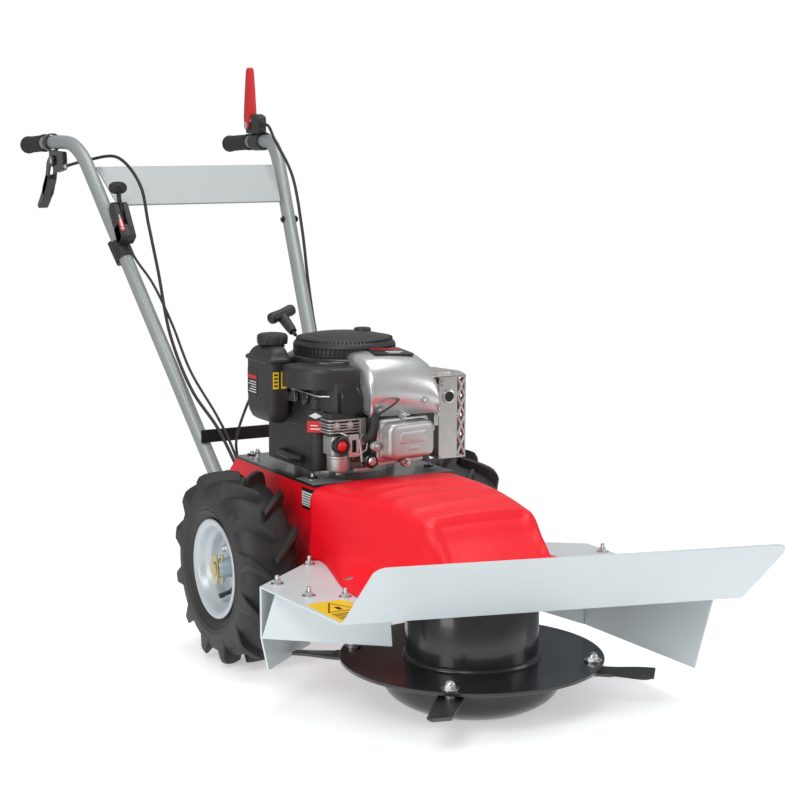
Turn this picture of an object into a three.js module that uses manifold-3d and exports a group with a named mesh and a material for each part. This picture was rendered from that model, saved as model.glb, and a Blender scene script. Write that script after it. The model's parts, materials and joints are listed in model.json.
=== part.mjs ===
// Walk-behind brush mower: a swinging-blade rotor under a sheet-metal deck, a vertical-shaft engine on a
// box chassis, two driven wheels and a tubular handlebar.
// Millimetres. The origin is under the cutter spindle, at the centre of the skid dish's floor. +X is the
// operator's left, +Y points back to the handlebar and +Z is up, so the machine works towards -Y. It stands a
// little nose down, on both tyres and the front edge of the skid dish. Every sub-part is laid out in the
// machine's own frame, square to the cutter disc, and one group pitches them all.
import * as THREE from "three";
import { mergeVertices } from "three/addons/utils/BufferGeometryUtils.js";
import Module from "manifold-3d";

const wasm = await Module();
wasm.setup();

// ---------------------------------------------------------------- driving dimensions
const gap = 0.3; // clearance between touching pieces
const cuttingRadius = 300; // blade tip circle, for a 600 mm working width
const flangeRadius = 218;
const flangeTop = 66.7;
const flangeThickness = 6;
const pivotRadius = 200; // bolt circle of the swinging blades
const bladeAngles = [-41, 49, 139, 229]; // degrees from straight ahead, towards +X
const bladeZ = [47, 53];
const bladeWidth = 42;
const drumRadius = 110;
const drumTop = 178;
const dishRimRadius = 152;
const dishHeight = 44;
const dishFloorRadius = 96;
const dishFloorZ = -15; // the machine's own heights are counted from 15 mm above the dish's floor
const spindleRadius = 12.5;
const runningClearance = 0.5;

const wheelRadius = 173; // over the lug tips
const wheelCentre = 219; // distance of the tyre's middle plane from the machine's middle plane
const axleY = 443;
const axleZ = 144.5;
const lugCount = 12; // per side of each tyre

// The pitch at which the tyres and the front edge of the skid dish's floor touch the ground together.
const wheelBase = axleY + dishFloorRadius;
const axleHeight = axleZ - dishFloorZ;
const axleReach = Math.hypot(wheelBase, axleHeight);
const pitch = Math.asin(wheelRadius / axleReach) - Math.atan2(axleHeight, wheelBase);

const chassisHalfWidth = 140;
const plateThickness = 5;
const chassisTop = 305;
const deckPlateTop = 309.3;
const guardTop = 188; // upper face of the side guard sheets
const sheetThickness = 3;
const neckPlateZ = [188.3, 194.3];

const crankY = 450;
const beltZ = [216, 228];
const driveBeltZ = [240, 252];
const beltHalf = 4; // half of the belt's radial thickness
const spindlePulleyRadius = 70;
const enginePulleyRadius = 42;
const gearboxPulleyRadius = 50;
const gearboxPulleyY = 330;

const handleTubeRadius = 14.5;
const handleTubeWall = 2;
const handlePivot = { y: 690, z: 179.3 };
const gripStartY = 1368;
const gripEndY = 1484;
const gripX = 241;

// ---------------------------------------------------------------- colours
const paint = {
  red: { color: 0xd80f14, roughness: 0.35, metalness: 0 },
  hoodRed: { color: 0xec1414, roughness: 0.3, metalness: 0 },
  guardGrey: { color: 0xc6cdd0, roughness: 0.45, metalness: 0.1 },
  black: { color: 0x17181a, roughness: 0.4, metalness: 0 },
  blackPlastic: { color: 0x202123, roughness: 0.5, metalness: 0 },
  blade: { color: 0x3a3c3a, roughness: 0.5, metalness: 0.7 },
  zinc: { color: 0xb9bcbc, roughness: 0.35, metalness: 0.9 },
  castAluminium: { color: 0xa9abaa, roughness: 0.5, metalness: 0.8 },
  silver: { color: 0xc9cccd, roughness: 0.3, metalness: 0.6 },
  rubber: { color: 0x1b1b1b, roughness: 0.85, metalness: 0 },
  rim: { color: 0xc4c8c8, roughness: 0.4, metalness: 0.3 },
  tube: { color: 0xaeb2b0, roughness: 0.4, metalness: 0.3 },
  redPlastic: { color: 0xd01212, roughness: 0.4, metalness: 0 },
};

const mower = new THREE.Group();
const tilted = new THREE.Group();
tilted.rotation.x = pitch;
mower.add(tilted);
const machine = new THREE.Group();
machine.position.z = -dishFloorZ;
tilted.add(machine);

function add(name, geometry, finish) {
  const mesh = new THREE.Mesh(geometry, new THREE.MeshStandardMaterial(finish));
  mesh.name = name;
  machine.add(mesh);
}

// ---------------------------------------------------------------- solids
function toSolid(geometry) {
  const plain = geometry.index ? geometry.toNonIndexed() : geometry.clone();
  plain.deleteAttribute("normal");
  plain.deleteAttribute("uv");
  const merged = mergeVertices(plain, 1e-3);
  return new wasm.Manifold(
    new wasm.Mesh({
      numProp: 3,
      vertProperties: merged.attributes.position.array,
      triVerts: new Uint32Array(merged.index.array),
    }),
  );
}

function toGeometry(solid) {
  const mesh = solid.getMesh();
  const geometry = new THREE.BufferGeometry();
  geometry.setAttribute("position", new THREE.BufferAttribute(mesh.vertProperties, 3));
  geometry.setIndex(new THREE.BufferAttribute(mesh.triVerts, 1));
  return geometry;
}

function join(...geometries) {
  const solids = geometries.map(toSolid);
  return toGeometry(solids.reduce((sum, solid) => sum.add(solid)));
}

function cut(body, ...tools) {
  return toGeometry(tools.map(toSolid).reduce((left, tool) => left.subtract(tool), toSolid(body)));
}

// ---------------------------------------------------------------- basic shapes
function box(x, y, z) {
  const shape = new THREE.BoxGeometry(x[1] - x[0], y[1] - y[0], z[1] - z[0]);
  return shape.translate((x[0] + x[1]) / 2, (y[0] + y[1]) / 2, (z[0] + z[1]) / 2);
}

// A closed profile of [radius, height] points turned about a vertical axis.
function turned(profile, segments = 20, x = 0, y = 0) {
  const corners = profile.map(([r, z]) => new THREE.Vector2(r, z));
  if (THREE.ShapeUtils.area(corners) < 0) corners.reverse();
  const points = [...corners, corners[0]];
  const shape = new THREE.LatheGeometry(points, segments);
  return shape.rotateX(Math.PI / 2).translate(x, y, 0);
}

function disc(radius, z, x = 0, y = 0, segments = 20) {
  return turned([[0, z[0]], [radius, z[0]], [radius, z[1]], [0, z[1]]], segments, x, y);
}

// The same profile turned about an axis along X, where the height runs along +X.
function turnedAlongX(profile, segments, y, z) {
  return turned(profile, segments).rotateY(Math.PI / 2).translate(0, y, z);
}

function pinAlongX(radius, x, y, z, segments = 12) {
  return turnedAlongX([[0, x[0]], [radius, x[0]], [radius, x[1]], [0, x[1]]], segments, y, z);
}

function pinAlongY(radius, y, x, z, segments = 12) {
  return turned([[0, y[0]], [radius, y[0]], [radius, y[1]], [0, y[1]]], segments)
    .rotateX(-Math.PI / 2)
    .translate(x, 0, z);
}

// A flat outline of [x, y] points with thickness along Z.
function slabXY(outline, z, holes = []) {
  const shape = new THREE.Shape(outline.map(([x, y]) => new THREE.Vector2(x, y)));
  for (const hole of holes) shape.holes.push(circle(hole));
  const depth = z[1] - z[0];
  const solid = new THREE.ExtrudeGeometry(shape, { depth, bevelEnabled: false, curveSegments: 12 });
  return solid.translate(0, 0, z[0]);
}

function circle({ x, y, radius }) {
  return new THREE.Path().absarc(x, y, radius, 0, 2 * Math.PI);
}

// A flat outline of [y, z] points with thickness along X.
function slabYZ(outline, x, holes = []) {
  const solid = slabXY(outline, [0, x[1] - x[0]], holes);
  const turn = new THREE.Matrix4().makeBasis(
    new THREE.Vector3(0, 1, 0),
    new THREE.Vector3(0, 0, 1),
    new THREE.Vector3(1, 0, 0),
  );
  return solid.applyMatrix4(turn).translate(x[0], 0, 0);
}

function polygonSection(radius, sides) {
  const corners = [];
  for (let i = 0; i < sides; i += 1) {
    const angle = (2 * Math.PI * i) / sides;
    corners.push(new THREE.Vector2(radius * Math.cos(angle), radius * Math.sin(angle)));
  }
  return corners;
}

// A round bar or tube along a smooth curve through the points.
function bar(points, radius, sides, steps, wall = 0) {
  const path = new THREE.CatmullRomCurve3(points.map((p) => new THREE.Vector3(...p)), false, "centripetal");
  const section = new THREE.Shape(polygonSection(radius, sides));
  if (wall) section.holes.push(new THREE.Path(polygonSection(radius - wall, sides)));
  return new THREE.ExtrudeGeometry(section, { steps, bevelEnabled: false, extrudePath: path });
}

// A profile of [radius, distance] points turned about the line from a towards b.
function turnedBetween(a, b, profile, segments = 12) {
  const start = new THREE.Vector3(...a);
  const direction = new THREE.Vector3(...b).sub(start).normalize();
  const turn = new THREE.Quaternion().setFromUnitVectors(new THREE.Vector3(0, 0, 1), direction);
  return turned(profile, segments).applyQuaternion(turn).translate(start.x, start.y, start.z);
}

function rodBetween(a, b, radius, segments = 12) {
  const length = new THREE.Vector3(...a).distanceTo(new THREE.Vector3(...b));
  return turnedBetween(a, b, [[0, 0], [radius, 0], [radius, length], [0, length]], segments);
}

// A closed skin through rings that all have the same number of points.
function loft(rings) {
  const count = rings[0].length;
  const positions = rings.flat(2);
  const faces = [];
  for (let r = 0; r + 1 < rings.length; r += 1) {
    for (let i = 0; i < count; i += 1) {
      const a = r * count + i;
      const b = r * count + ((i + 1) % count);
      faces.push(a, b, b + count, a, b + count, a + count);
    }
  }
  for (const [ring, flip] of [[0, true], [rings.length - 1, false]]) {
    for (const triangle of capTriangles(rings[ring])) {
      const ids = triangle.map((i) => ring * count + i);
      faces.push(...(flip ? ids.reverse() : ids));
    }
  }
  const geometry = new THREE.BufferGeometry();
  geometry.setAttribute("position", new THREE.Float32BufferAttribute(positions, 3));
  geometry.setIndex(faces);
  return toSolid(geometry).volume() < 0 ? turnInsideOut(geometry) : geometry;
}

function capTriangles(ring) {
  const [origin, ...rest] = ring.map((p) => new THREE.Vector3(...p));
  const normal = new THREE.Vector3();
  for (let i = 0; i + 1 < rest.length; i += 1) {
    normal.add(rest[i].clone().sub(origin).cross(rest[i + 1].clone().sub(origin)));
  }
  normal.normalize();
  const u = rest[0].clone().sub(origin).normalize();
  const v = normal.clone().cross(u);
  const flat = ring.map((p) => {
    const d = new THREE.Vector3(...p).sub(origin);
    return new THREE.Vector2(d.dot(u), d.dot(v));
  });
  return THREE.ShapeUtils.triangulateShape(flat, []);
}

function turnInsideOut(geometry) {
  const index = geometry.index.array;
  for (let i = 0; i < index.length; i += 3) {
    [index[i + 1], index[i + 2]] = [index[i + 2], index[i + 1]];
  }
  return geometry;
}

const mirrored = (points) => points.map(([x, ...rest]) => [-x, ...rest]);

// ---------------------------------------------------------------- chassis
function sidePlate(side) {
  const outline = [
    [262, 240], [292, 240], [292, chassisTop], [618, chassisTop], [668, 262], [706, 214], [706, 150],
    [560, 122], [300, 122], [262, 188.3],
  ];
  const holes = [
    { x: axleY, y: axleZ, radius: 14 },
    { x: handlePivot.y, y: handlePivot.z, radius: 6.6 },
  ];
  const x = [chassisHalfWidth - plateThickness, chassisHalfWidth];
  return slabYZ(outline, side > 0 ? x : [-x[1], -x[0]], holes);
}
add("right_side_plate", sidePlate(-1), paint.red);
add("left_side_plate", sidePlate(1), paint.red);

// The beam plate runs forward from the chassis to the cutter spindle, with an upturned flange each side.
function neckPlate() {
  const outline = [[-112, 294], [-112, -10], [-70, -84], [70, -84], [112, -10], [112, 294]];
  const floor = slabXY(outline, neckPlateZ, [{ x: 0, y: 0, radius: 31 }]);
  const flanges = [-1, 1].map((side) => {
    const x = side * 130;
    return box([Math.min(x, side * 108), Math.max(x, side * 108)], [268, 294], [neckPlateZ[0], 215]);
  });
  return join(floor, ...flanges);
}
add("neck_plate", neckPlate(), paint.red);

function deckPlate() {
  const outline = [[-141, 296], [141, 296], [141, 622], [-141, 622]];
  const plate = slabXY(outline, [chassisTop + gap, deckPlateTop], [{ x: 0, y: crankY, radius: 30 }]);
  const bolts = [];
  for (const [x, y] of [[118, 346], [-118, 346], [118, 596], [-118, 596]]) {
    bolts.push(disc(9, [chassisTop + 1, deckPlateTop + 6], x, y, 6));
  }
  return join(plate, ...bolts);
}
add("engine_deck_plate", deckPlate(), paint.black);

// ---------------------------------------------------------------- hood
// Half sections from the bottom edge up to the middle of the top: [half width, height] at each station.
const hoodStations = [
  { y: 290, points: [[152, 188.3], [152, 196], [151, 240], [149, 290], [138, 305], [80, 311], [0, 313]] },
  { y: 225, points: [[158, 188.3], [155, 196], [149, 235], [145, 285], [134, 306], [76, 315], [0, 317]] },
  { y: 150, points: [[180, 188.3], [175, 196], [146, 229], [134, 285], [123, 309], [70, 319], [0, 321]] },
  { y: 70, points: [[205, 188.3], [200, 195], [142, 222], [122, 281], [112, 307], [64, 316], [0, 319]] },
  { y: 10, points: [[214, 188.3], [208, 194], [138, 218], [116, 273], [106, 300], [61, 308], [0, 310]] },
  { y: -20, points: [[215, 188.3], [208, 194], [132, 214], [111, 266], [103, 294], [60, 300], [0, 302]] },
  { y: -50, points: [[206, 188.3], [199, 194], [125, 209], [106, 245], [99, 268], [57, 273], [0, 275]] },
  { y: -85, points: [[184, 188.3], [177, 193], [116, 204], [100, 226], [93, 239], [54, 244], [0, 246]] },
  { y: -115, points: [[156, 188.3], [150, 192], [106, 198], [93, 208], [86, 216], [50, 219], [0, 221]] },
  { y: -140, points: [[120, 188.3], [116, 191], [98, 193], [86, 196], [80, 199], [45, 201], [0, 202]] },
];

function hoodRing(station, inset) {
  const half = station.points.map(([x, z]) => {
    return [Math.max(x - inset, 0), z - inset];
  });
  const right = half.map(([x, z]) => [x, station.y, z]);
  const left = half.slice(0, -1).reverse().map(([x, z]) => [-x, station.y, z]);
  return [...right, ...left];
}

function hood() {
  const wall = 4.5;
  const outside = loft(hoodStations.map((station) => hoodRing(station, 0)));
  const insideRing = (station, back) => hoodRing({ ...station, y: station.y + back }, wall);
  const inside = hoodStations.slice(0, -1).map((station) => insideRing(station, wall));
  return cut(outside, loft([insideRing(hoodStations[0], 3 * wall), ...inside]));
}
add("front_hood", hood(), paint.hoodRed);

// ---------------------------------------------------------------- deflector
// A plate across the front that leans forward. It is set a little askew, further forward on the left.
const deflectorFoot = { right: [-310, -133], left: [321, -294] };
const deflectorRise = 110;
const deflectorLean = 111;

function deflector() {
  const foot = new THREE.Vector3(...deflectorFoot.right, 0);
  const along = new THREE.Vector3(...deflectorFoot.left, 0).sub(foot);
  const width = along.length();
  along.normalize();
  const forward = new THREE.Vector3(along.y, -along.x, 0);
  const up = new THREE.Vector3(0, 0, deflectorRise).addScaledVector(forward, deflectorLean).normalize();
  const height = Math.hypot(deflectorRise, deflectorLean);
  const outline = new THREE.Shape();
  outline.moveTo(0, 0);
  outline.lineTo(width, 0);
  outline.lineTo(width + 22, height - 26);
  outline.quadraticCurveTo(width + 24, height, width - 2, height);
  outline.lineTo(44, height);
  outline.quadraticCurveTo(28, height, 22, height - 16);
  const sheet = { depth: sheetThickness, bevelEnabled: false, curveSegments: 5 };
  const plate = new THREE.ExtrudeGeometry(outline, sheet);
  const normal = along.clone().cross(up);
  const place = new THREE.Matrix4().makeBasis(along, up, normal);
  const back = foot.clone().addScaledVector(normal, -sheetThickness);
  place.setPosition(back.x, back.y, guardTop + gap + back.z);
  plate.applyMatrix4(place);
  const flange = [[0, 0], [width, 0], [width - 20, 24], [20, 24]];
  const strip = slabXY(flange, [0, sheetThickness]);
  const flat = new THREE.Matrix4().makeBasis(along, forward.clone().negate(), new THREE.Vector3(0, 0, 1));
  flat.setPosition(foot.x, foot.y, guardTop + gap);
  return join(plate, strip.applyMatrix4(flat));
}
add("front_deflector", deflector(), paint.guardGrey);

// ---------------------------------------------------------------- side guards
const guardZ = [guardTop - sheetThickness, guardTop];

// A vertical sheet that hangs from a line on the ground plan, between given heights at its two ends.
function hangingSheet(a, b, bottomA, bottomB, top = guardZ[0]) {
  const direction = new THREE.Vector2(b[0] - a[0], b[1] - a[1]).normalize();
  const side = [direction.y * sheetThickness, -direction.x * sheetThickness];
  const ring = ([x, y], bottom) => [
    [x, y, bottom], [x + side[0], y + side[1], bottom], [x + side[0], y + side[1], top], [x, y, top],
  ];
  return loft([ring(a, bottomA), ring(b, bottomB)]);
}

// A flat sheet stood upright on the line a-b; its outline is given as [distance along the line, height].
function uprightSheet(a, b, outline) {
  const along = new THREE.Vector2(b[0] - a[0], b[1] - a[1]).normalize();
  const face = (offset) => outline.map(([u, z]) => {
    const x = a[0] + along.x * u + along.y * offset;
    return [x, a[1] + along.y * u - along.x * offset, z];
  });
  return loft([face(0), face(sheetThickness)]);
}

function rightGuard() {
  const plate = slabXY(
    [[-318, 135], [-172, 250], [-146, 250], [-60, 262], [-60, -150], [-280, -128], [-308, -120]],
    guardZ,
  );
  const rearWall = uprightSheet(
    [-319.4, 136.7], [-173.4, 251.7],
    [[0, guardTop], [1, 103], [26, 41], [186, 43], [186, guardTop]],
  );
  const curtain = hangingSheet([-174, 250], [-120, 250], 92, 92, guardTop);
  const frontFlap = uprightSheet(
    [-309, 128], [-136, -20],
    [[16, guardTop], [-10, 102], [206, 102], [200, guardTop]],
  );
  return join(plate, rearWall, curtain, frontFlap);
}
add("right_side_guard", rightGuard(), paint.guardGrey);

function leftGuard() {
  const plate = slabXY(
    [[322, 140], [322, -226], [316, -262], [60, -196], [60, 262], [172, 250]],
    guardZ,
  );
  const sideWall = loft([
    [[322, 140, 40], [322, 140, guardTop], [322, -226, guardTop], [322, -220, 169], [322, -177, 42]],
    [[325, 140, 40], [325, 140, guardTop], [325, -226, guardTop], [325, -220, 169], [325, -177, 42]],
  ]);
  const rearWall = hangingSheet([172, 250], [322, 140], 92, 40, guardTop);
  const curtain = hangingSheet([120, 250], [174, 250], 92, 92, guardTop);
  return join(plate, sideWall, rearWall, curtain);
}
add("left_side_guard", leftGuard(), paint.guardGrey);

// ---------------------------------------------------------------- cutter spindle and rotor
function spindleHousing() {
  const bore = spindleRadius + runningClearance;
  return turned(
    [[bore, 88], [30, 88], [30, 194.6], [62, 194.6], [62, 201], [30, 201], [30, 207], [bore, 207]],
    16,
  );
}
add("spindle_housing", spindleHousing(), paint.castAluminium);
add(
  "spindle_shaft",
  turned([[0, 14], [11, 14], [11, 22], [spindleRadius, 22], [spindleRadius, 250], [0, 250]], 16),
  paint.zinc,
);

// A belt pulley as a turned profile about its shaft.
function pulleyProfile(radius, z, bore) {
  const [low, high] = z;
  return [
    [bore, low - 6], [radius + 6, low - 6], [radius + 6, low - gap], [radius - beltHalf - gap, low - gap],
    [radius - beltHalf - gap, high + gap], [radius + 6, high + gap], [radius + 6, high + 6], [bore, high + 6],
  ];
}
add("spindle_pulley", turned(pulleyProfile(spindlePulleyRadius, beltZ, spindleRadius + gap), 16), paint.zinc);

function bladePoint(angle, radius) {
  const turn = THREE.MathUtils.degToRad(angle);
  return [radius * Math.sin(turn), -radius * Math.cos(turn)];
}

function cutterDisc() {
  const bottom = flangeTop - flangeThickness;
  const plate = turned(
    [
      [spindleRadius + gap, 56.3], [34, 56.3], [34, bottom], [flangeRadius, bottom],
      [flangeRadius, flangeTop], [34, flangeTop], [34, 84], [spindleRadius + gap, 84],
    ],
    28,
  );
  const bolts = bladeAngles.map((angle) => {
    const [x, y] = bladePoint(angle, pivotRadius);
    const profile = [[0, 41], [11, 41], [11, 46], [8, 46], [8, 64], [11, 64], [11, 74], [0, 82]];
    return turned(profile, 6, x, y);
  });
  return join(plate, ...bolts);
}
add("cutter_disc", cutterDisc(), paint.black);

function cutterDrum() {
  const foot = flangeTop + gap;
  return turned(
    [
      [drumRadius - 4, foot], [drumRadius + 5, foot], [drumRadius, foot + 5],
      [drumRadius, drumTop], [drumRadius - 4, drumTop],
    ],
    24,
  );
}
add("cutter_drum", cutterDrum(), paint.black);

function skidDish() {
  const bore = spindleRadius + runningClearance;
  const floor = dishFloorZ;
  const profile = [
    [bore, 24], [40, 24], [44, floor + 4], [dishFloorRadius - 1, floor + 4], [110, floor + 11], [132, 10],
    [144, 28], [dishRimRadius - 5, dishHeight], [dishRimRadius, dishHeight], [149, 26], [136, 6],
    [113, floor + 6], [dishFloorRadius, floor], [0, floor], [0, 8], [bore, 8],
  ];
  return turned(profile, 24);
}
add("skid_dish", skidDish(), paint.black);

function blade(angle) {
  const half = bladeWidth / 2;
  const inner = pivotRadius - 20;
  const outline = [
    [-half + 6, -inner], [half - 6, -inner], [half, -inner - 12], [half, -cuttingRadius],
    [-half + 16, -cuttingRadius], [-half, -cuttingRadius + 22], [-half, -inner - 12],
  ];
  const flat = slabXY(outline, bladeZ, [{ x: 0, y: -pivotRadius, radius: 8 + runningClearance }]);
  return flat.rotateZ(THREE.MathUtils.degToRad(angle));
}
bladeAngles.forEach((angle, i) => add(`blade_${i + 1}`, blade(angle), paint.blade));

// ---------------------------------------------------------------- wheels
function tyre(side) {
  const carcass = [
    [79, 36], [79, 41], [90, 41.2], [102, 51], [120, 54], [138, 52], [150, 42], [157, 0], [150, -42],
    [138, -52], [120, -54], [102, -51], [90, -41.2], [79, -41], [79, -36], [102, -44], [132, -42], [138, 0],
    [132, 42], [102, 44],
  ];
  const ring = turned(carcass, 16);
  const lugs = [];
  for (let i = 0; i < 2 * lugCount; i += 1) {
    const flank = i % 2 ? 1 : -1;
    const start = (Math.PI * i) / lugCount;
    lugs.push(treadLug(start, flank, side));
  }
  return join(ring, ...lugs).rotateY(Math.PI / 2).translate(side * wheelCentre, axleY, axleZ);
}

// One lug of the V tread, from just over the middle plane out to the shoulder.
function treadLug(start, flank, side) {
  const lag = 0.3; // how far the outer end trails the inner one, in radians
  const half = 0.075;
  const section = (across, angle, low, high) => {
    const at = (a, r) => [r * Math.cos(a), side * r * Math.sin(a), flank * across];
    return [at(angle - half, low), at(angle + half, low), at(angle + half, high), at(angle - half, high)];
  };
  return loft([
    section(-4, start, 150, wheelRadius),
    section(53, start + lag, 130, wheelRadius - 9),
  ]);
}

function rim(side) {
  const bore = spindleRadius + gap;
  const outline = [
    [bore, -40], [18, -40], [18, -5], [62, 5], [62, -24], [74, -46], [89, -46], [89, -41.7],
    [77, -41.7], [77, -36], [67, -24], [67, 24], [77, 36], [77, 41.7], [89, 41.7], [89, 46], [74, 46],
    [62, 24], [62, 10], [18, 0], [18, 42], [bore, 42],
  ];
  return turnedAlongX(outline.map(([r, x]) => [r, side * (x + wheelCentre)]), 16, axleY, axleZ);
}

function axleShaft(side) {
  const x = [side * 10, side * (wheelCentre + 48)].sort((a, b) => a - b);
  return pinAlongX(spindleRadius, x, axleY, axleZ);
}
for (const [name, side] of [["right", -1], ["left", 1]]) {
  add(`${name}_tyre`, tyre(side), paint.rubber);
  add(`${name}_rim`, rim(side), paint.rim);
  add(`${name}_axle_shaft`, axleShaft(side), paint.zinc);
}

// ---------------------------------------------------------------- gearbox and belts
function gearbox() {
  const casing = box([-58, 58], [300, 490], [96, 200]);
  const sleeves = pinAlongX(26, [-134.5, 134.5], axleY, axleZ);
  const bores = [-1, 1].map((side) => {
    const x = [side * 8, side * 140].sort((a, b) => a - b);
    return pinAlongX(spindleRadius + runningClearance, x, axleY, axleZ);
  });
  const inputBore = disc(10 + runningClearance, [150, 210], 0, gearboxPulleyY, 12);
  return cut(join(casing, sleeves), ...bores, inputBore);
}
add("gearbox_housing", gearbox(), paint.castAluminium);

function gearboxPulley() {
  const pulley = turned(pulleyProfile(gearboxPulleyRadius, driveBeltZ, 0), 16, 0, gearboxPulleyY);
  return join(pulley, disc(10, [152, driveBeltZ[0]], 0, gearboxPulleyY, 12));
}
add("gearbox_input_pulley", gearboxPulley(), paint.zinc);

// The outline of a belt round two pulleys on the machine's middle plane, at a given radial offset.
function beltOutline(y1, r1, y2, r2, offset, segments = 12) {
  const a = r1 + offset;
  const b = r2 + offset;
  const tilt = Math.asin((r1 - r2) / (y2 - y1));
  const outline = [];
  for (let i = 0; i <= segments; i += 1) {
    const turn = Math.PI - tilt + ((Math.PI + 2 * tilt) * i) / segments;
    outline.push([a * Math.cos(turn), y1 + a * Math.sin(turn)]);
  }
  for (let i = 0; i <= segments; i += 1) {
    const turn = tilt + ((Math.PI - 2 * tilt) * i) / segments;
    outline.push([b * Math.cos(turn), y2 + b * Math.sin(turn)]);
  }
  return outline;
}

function belt(y1, r1, y2, r2, z) {
  const shape = new THREE.Shape(
    beltOutline(y1, r1, y2, r2, beltHalf).map(([x, y]) => new THREE.Vector2(x, y)),
  );
  const inside = beltOutline(y1, r1, y2, r2, -beltHalf + 0.6);
  shape.holes.push(new THREE.Path(inside.map(([x, y]) => new THREE.Vector2(x, y))));
  const loop = new THREE.ExtrudeGeometry(shape, { depth: z[1] - z[0], bevelEnabled: false });
  return loop.translate(0, 0, z[0]);
}
add("blade_belt", belt(0, spindlePulleyRadius, crankY, enginePulleyRadius, beltZ), paint.rubber);
add(
  "drive_belt",
  belt(gearboxPulleyY, gearboxPulleyRadius, crankY, enginePulleyRadius, driveBeltZ),
  paint.rubber,
);

// A tension arm: a pivot post, a flat arm and a roller beside the belt's slack run.
function tensionArm(pivot, roller, postZ, armZ, rollerZ, rollerRadius) {
  const post = disc(9, postZ, ...pivot, 12);
  const wheel = disc(rollerRadius, rollerZ, ...roller, 16);
  const pin = disc(6, [Math.min(armZ[0], rollerZ[0]), Math.max(armZ[1], rollerZ[1])], ...roller, 8);
  const middle = [(pivot[0] + roller[0]) / 2, (pivot[1] + roller[1]) / 2];
  const length = Math.hypot(roller[0] - pivot[0], roller[1] - pivot[1]);
  const turn = Math.atan2(roller[1] - pivot[1], roller[0] - pivot[0]);
  const arm = box([-length / 2, length / 2], [-9, 9], armZ).rotateZ(turn).translate(...middle, 0);
  return join(post, arm, pin, wheel);
}
add(
  "blade_tension_arm",
  tensionArm([-96, 188], [-88, 250], [neckPlateZ[1] + gap, 207], [201, 207], [206, 236], 20),
  paint.zinc,
);
add(
  "drive_tension_arm",
  tensionArm([-98, 350], [-74, 392], [262, chassisTop - gap], [262, 267], [238, 263], 16),
  paint.zinc,
);

// ---------------------------------------------------------------- engine
const cylinderTurn = THREE.MathUtils.degToRad(9); // the cylinder points forward and a little to the left

function crankshaft() {
  const r = enginePulleyRadius;
  const core = r - beltHalf - gap;
  const shaft = spindleRadius;
  return turned(
    [
      [0, 206], [shaft, 206], [shaft, 210], [r + 6, 210], [r + 6, beltZ[0] - gap], [core, beltZ[0] - gap],
      [core, beltZ[1] + gap], [r + 6, beltZ[1] + gap], [r + 6, driveBeltZ[0] - gap],
      [core, driveBeltZ[0] - gap], [core, driveBeltZ[1] + gap], [r + 6, driveBeltZ[1] + gap],
      [r + 6, 258], [shaft, 258], [shaft, 500], [0, 500],
    ],
    12,
    0,
    crankY,
  );
}
add("crankshaft", crankshaft(), paint.zinc);

// The crankcase with its finned cylinder, bored through for the crankshaft.
function crankcase() {
  const foot = disc(92, [deckPlateTop + gap, 330]);
  const barrel = disc(82, [325, 455]);
  const cylinder = box([-42, 42], [-168, -40], [345, 408]);
  const fins = [];
  for (let y = -165; y < -88; y += 15) fins.push(box([-50, 50], [y, y + 6], [337, 412]));
  const solid = join(foot, barrel, cylinder, ...fins);
  const bore = disc(spindleRadius + runningClearance, [300, 470], 0, 0, 16);
  return cut(solid, bore).rotateZ(cylinderTurn).translate(0, crankY, 0);
}
add("crankcase", crankcase(), paint.castAluminium);

function rockerCover() {
  const rounded = (half, r) => {
    const shape = new THREE.Shape();
    const [w, h] = half;
    shape.moveTo(-w + r, -h);
    shape.lineTo(w - r, -h);
    shape.absarc(w - r, -h + r, r, -Math.PI / 2, 0);
    shape.absarc(w - r, h - r, r, 0, Math.PI / 2);
    shape.absarc(-w + r, h - r, r, Math.PI / 2, Math.PI);
    shape.absarc(-w + r, -h + r, r, Math.PI, 1.5 * Math.PI);
    return shape;
  };
  const block = (half, r, depth) =>
    new THREE.ExtrudeGeometry(rounded(half, r), { depth, bevelEnabled: false, curveSegments: 4 });
  const flange = block([57, 37], 12, 5);
  const dome = block([50, 32], 12, 30).translate(0, 0, 3);
  const cover = join(flange, dome).rotateX(Math.PI / 2).translate(0, -168.4, 381);
  return cover.rotateZ(cylinderTurn).translate(0, crankY, 0);
}
add("rocker_cover", rockerCover(), paint.castAluminium);

add(
  "flywheel",
  turned([[spindleRadius + gap, 474], [86, 474], [86, 500], [spindleRadius + gap, 500]], 24, 0, crankY),
  paint.castAluminium,
);

// The recoil starter's cap: a low dome over the flywheel, open below.
function recoilCover() {
  return turned(
    [
      [93, 517], [93, 533], [84, 543], [55, 551], [0, 553], [0, 549], [54, 547], [81, 540], [88, 531],
      [88, 517],
    ],
    18,
    0,
    crankY,
  );
}
add("recoil_cover", recoilCover(), paint.blackPlastic);

// The black plastic cowl: a ring round the flywheel with a shoulder out over the air filter.
function engineCowl() {
  const ring = disc(106, [458, 516.6], 0, crankY, 28);
  const shoulder = slabXY(
    [[-98, 520], [-98, 440], [-120, 425], [-120, 345], [-100, 318], [-48, 306], [-30, 420], [-30, 520]],
    [430, 508],
  );
  const flywheelRoom = disc(91, [470, 520], 0, crankY, 28);
  const below = disc(84, [450, 475], 0, crankY, 20);
  const front = slabXY([[-42, 290], [130, 290], [130, 395], [40, 395], [-42, 372]], [400, 530]);
  const underShoulder = slabXY([[-150, 530], [-150, 342], [-30, 342], [-30, 530]], [420, 481]);
  return cut(join(ring, shoulder), flywheelRoom, below, front, underShoulder);
}
add("engine_cowl", engineCowl(), paint.blackPlastic);

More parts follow.
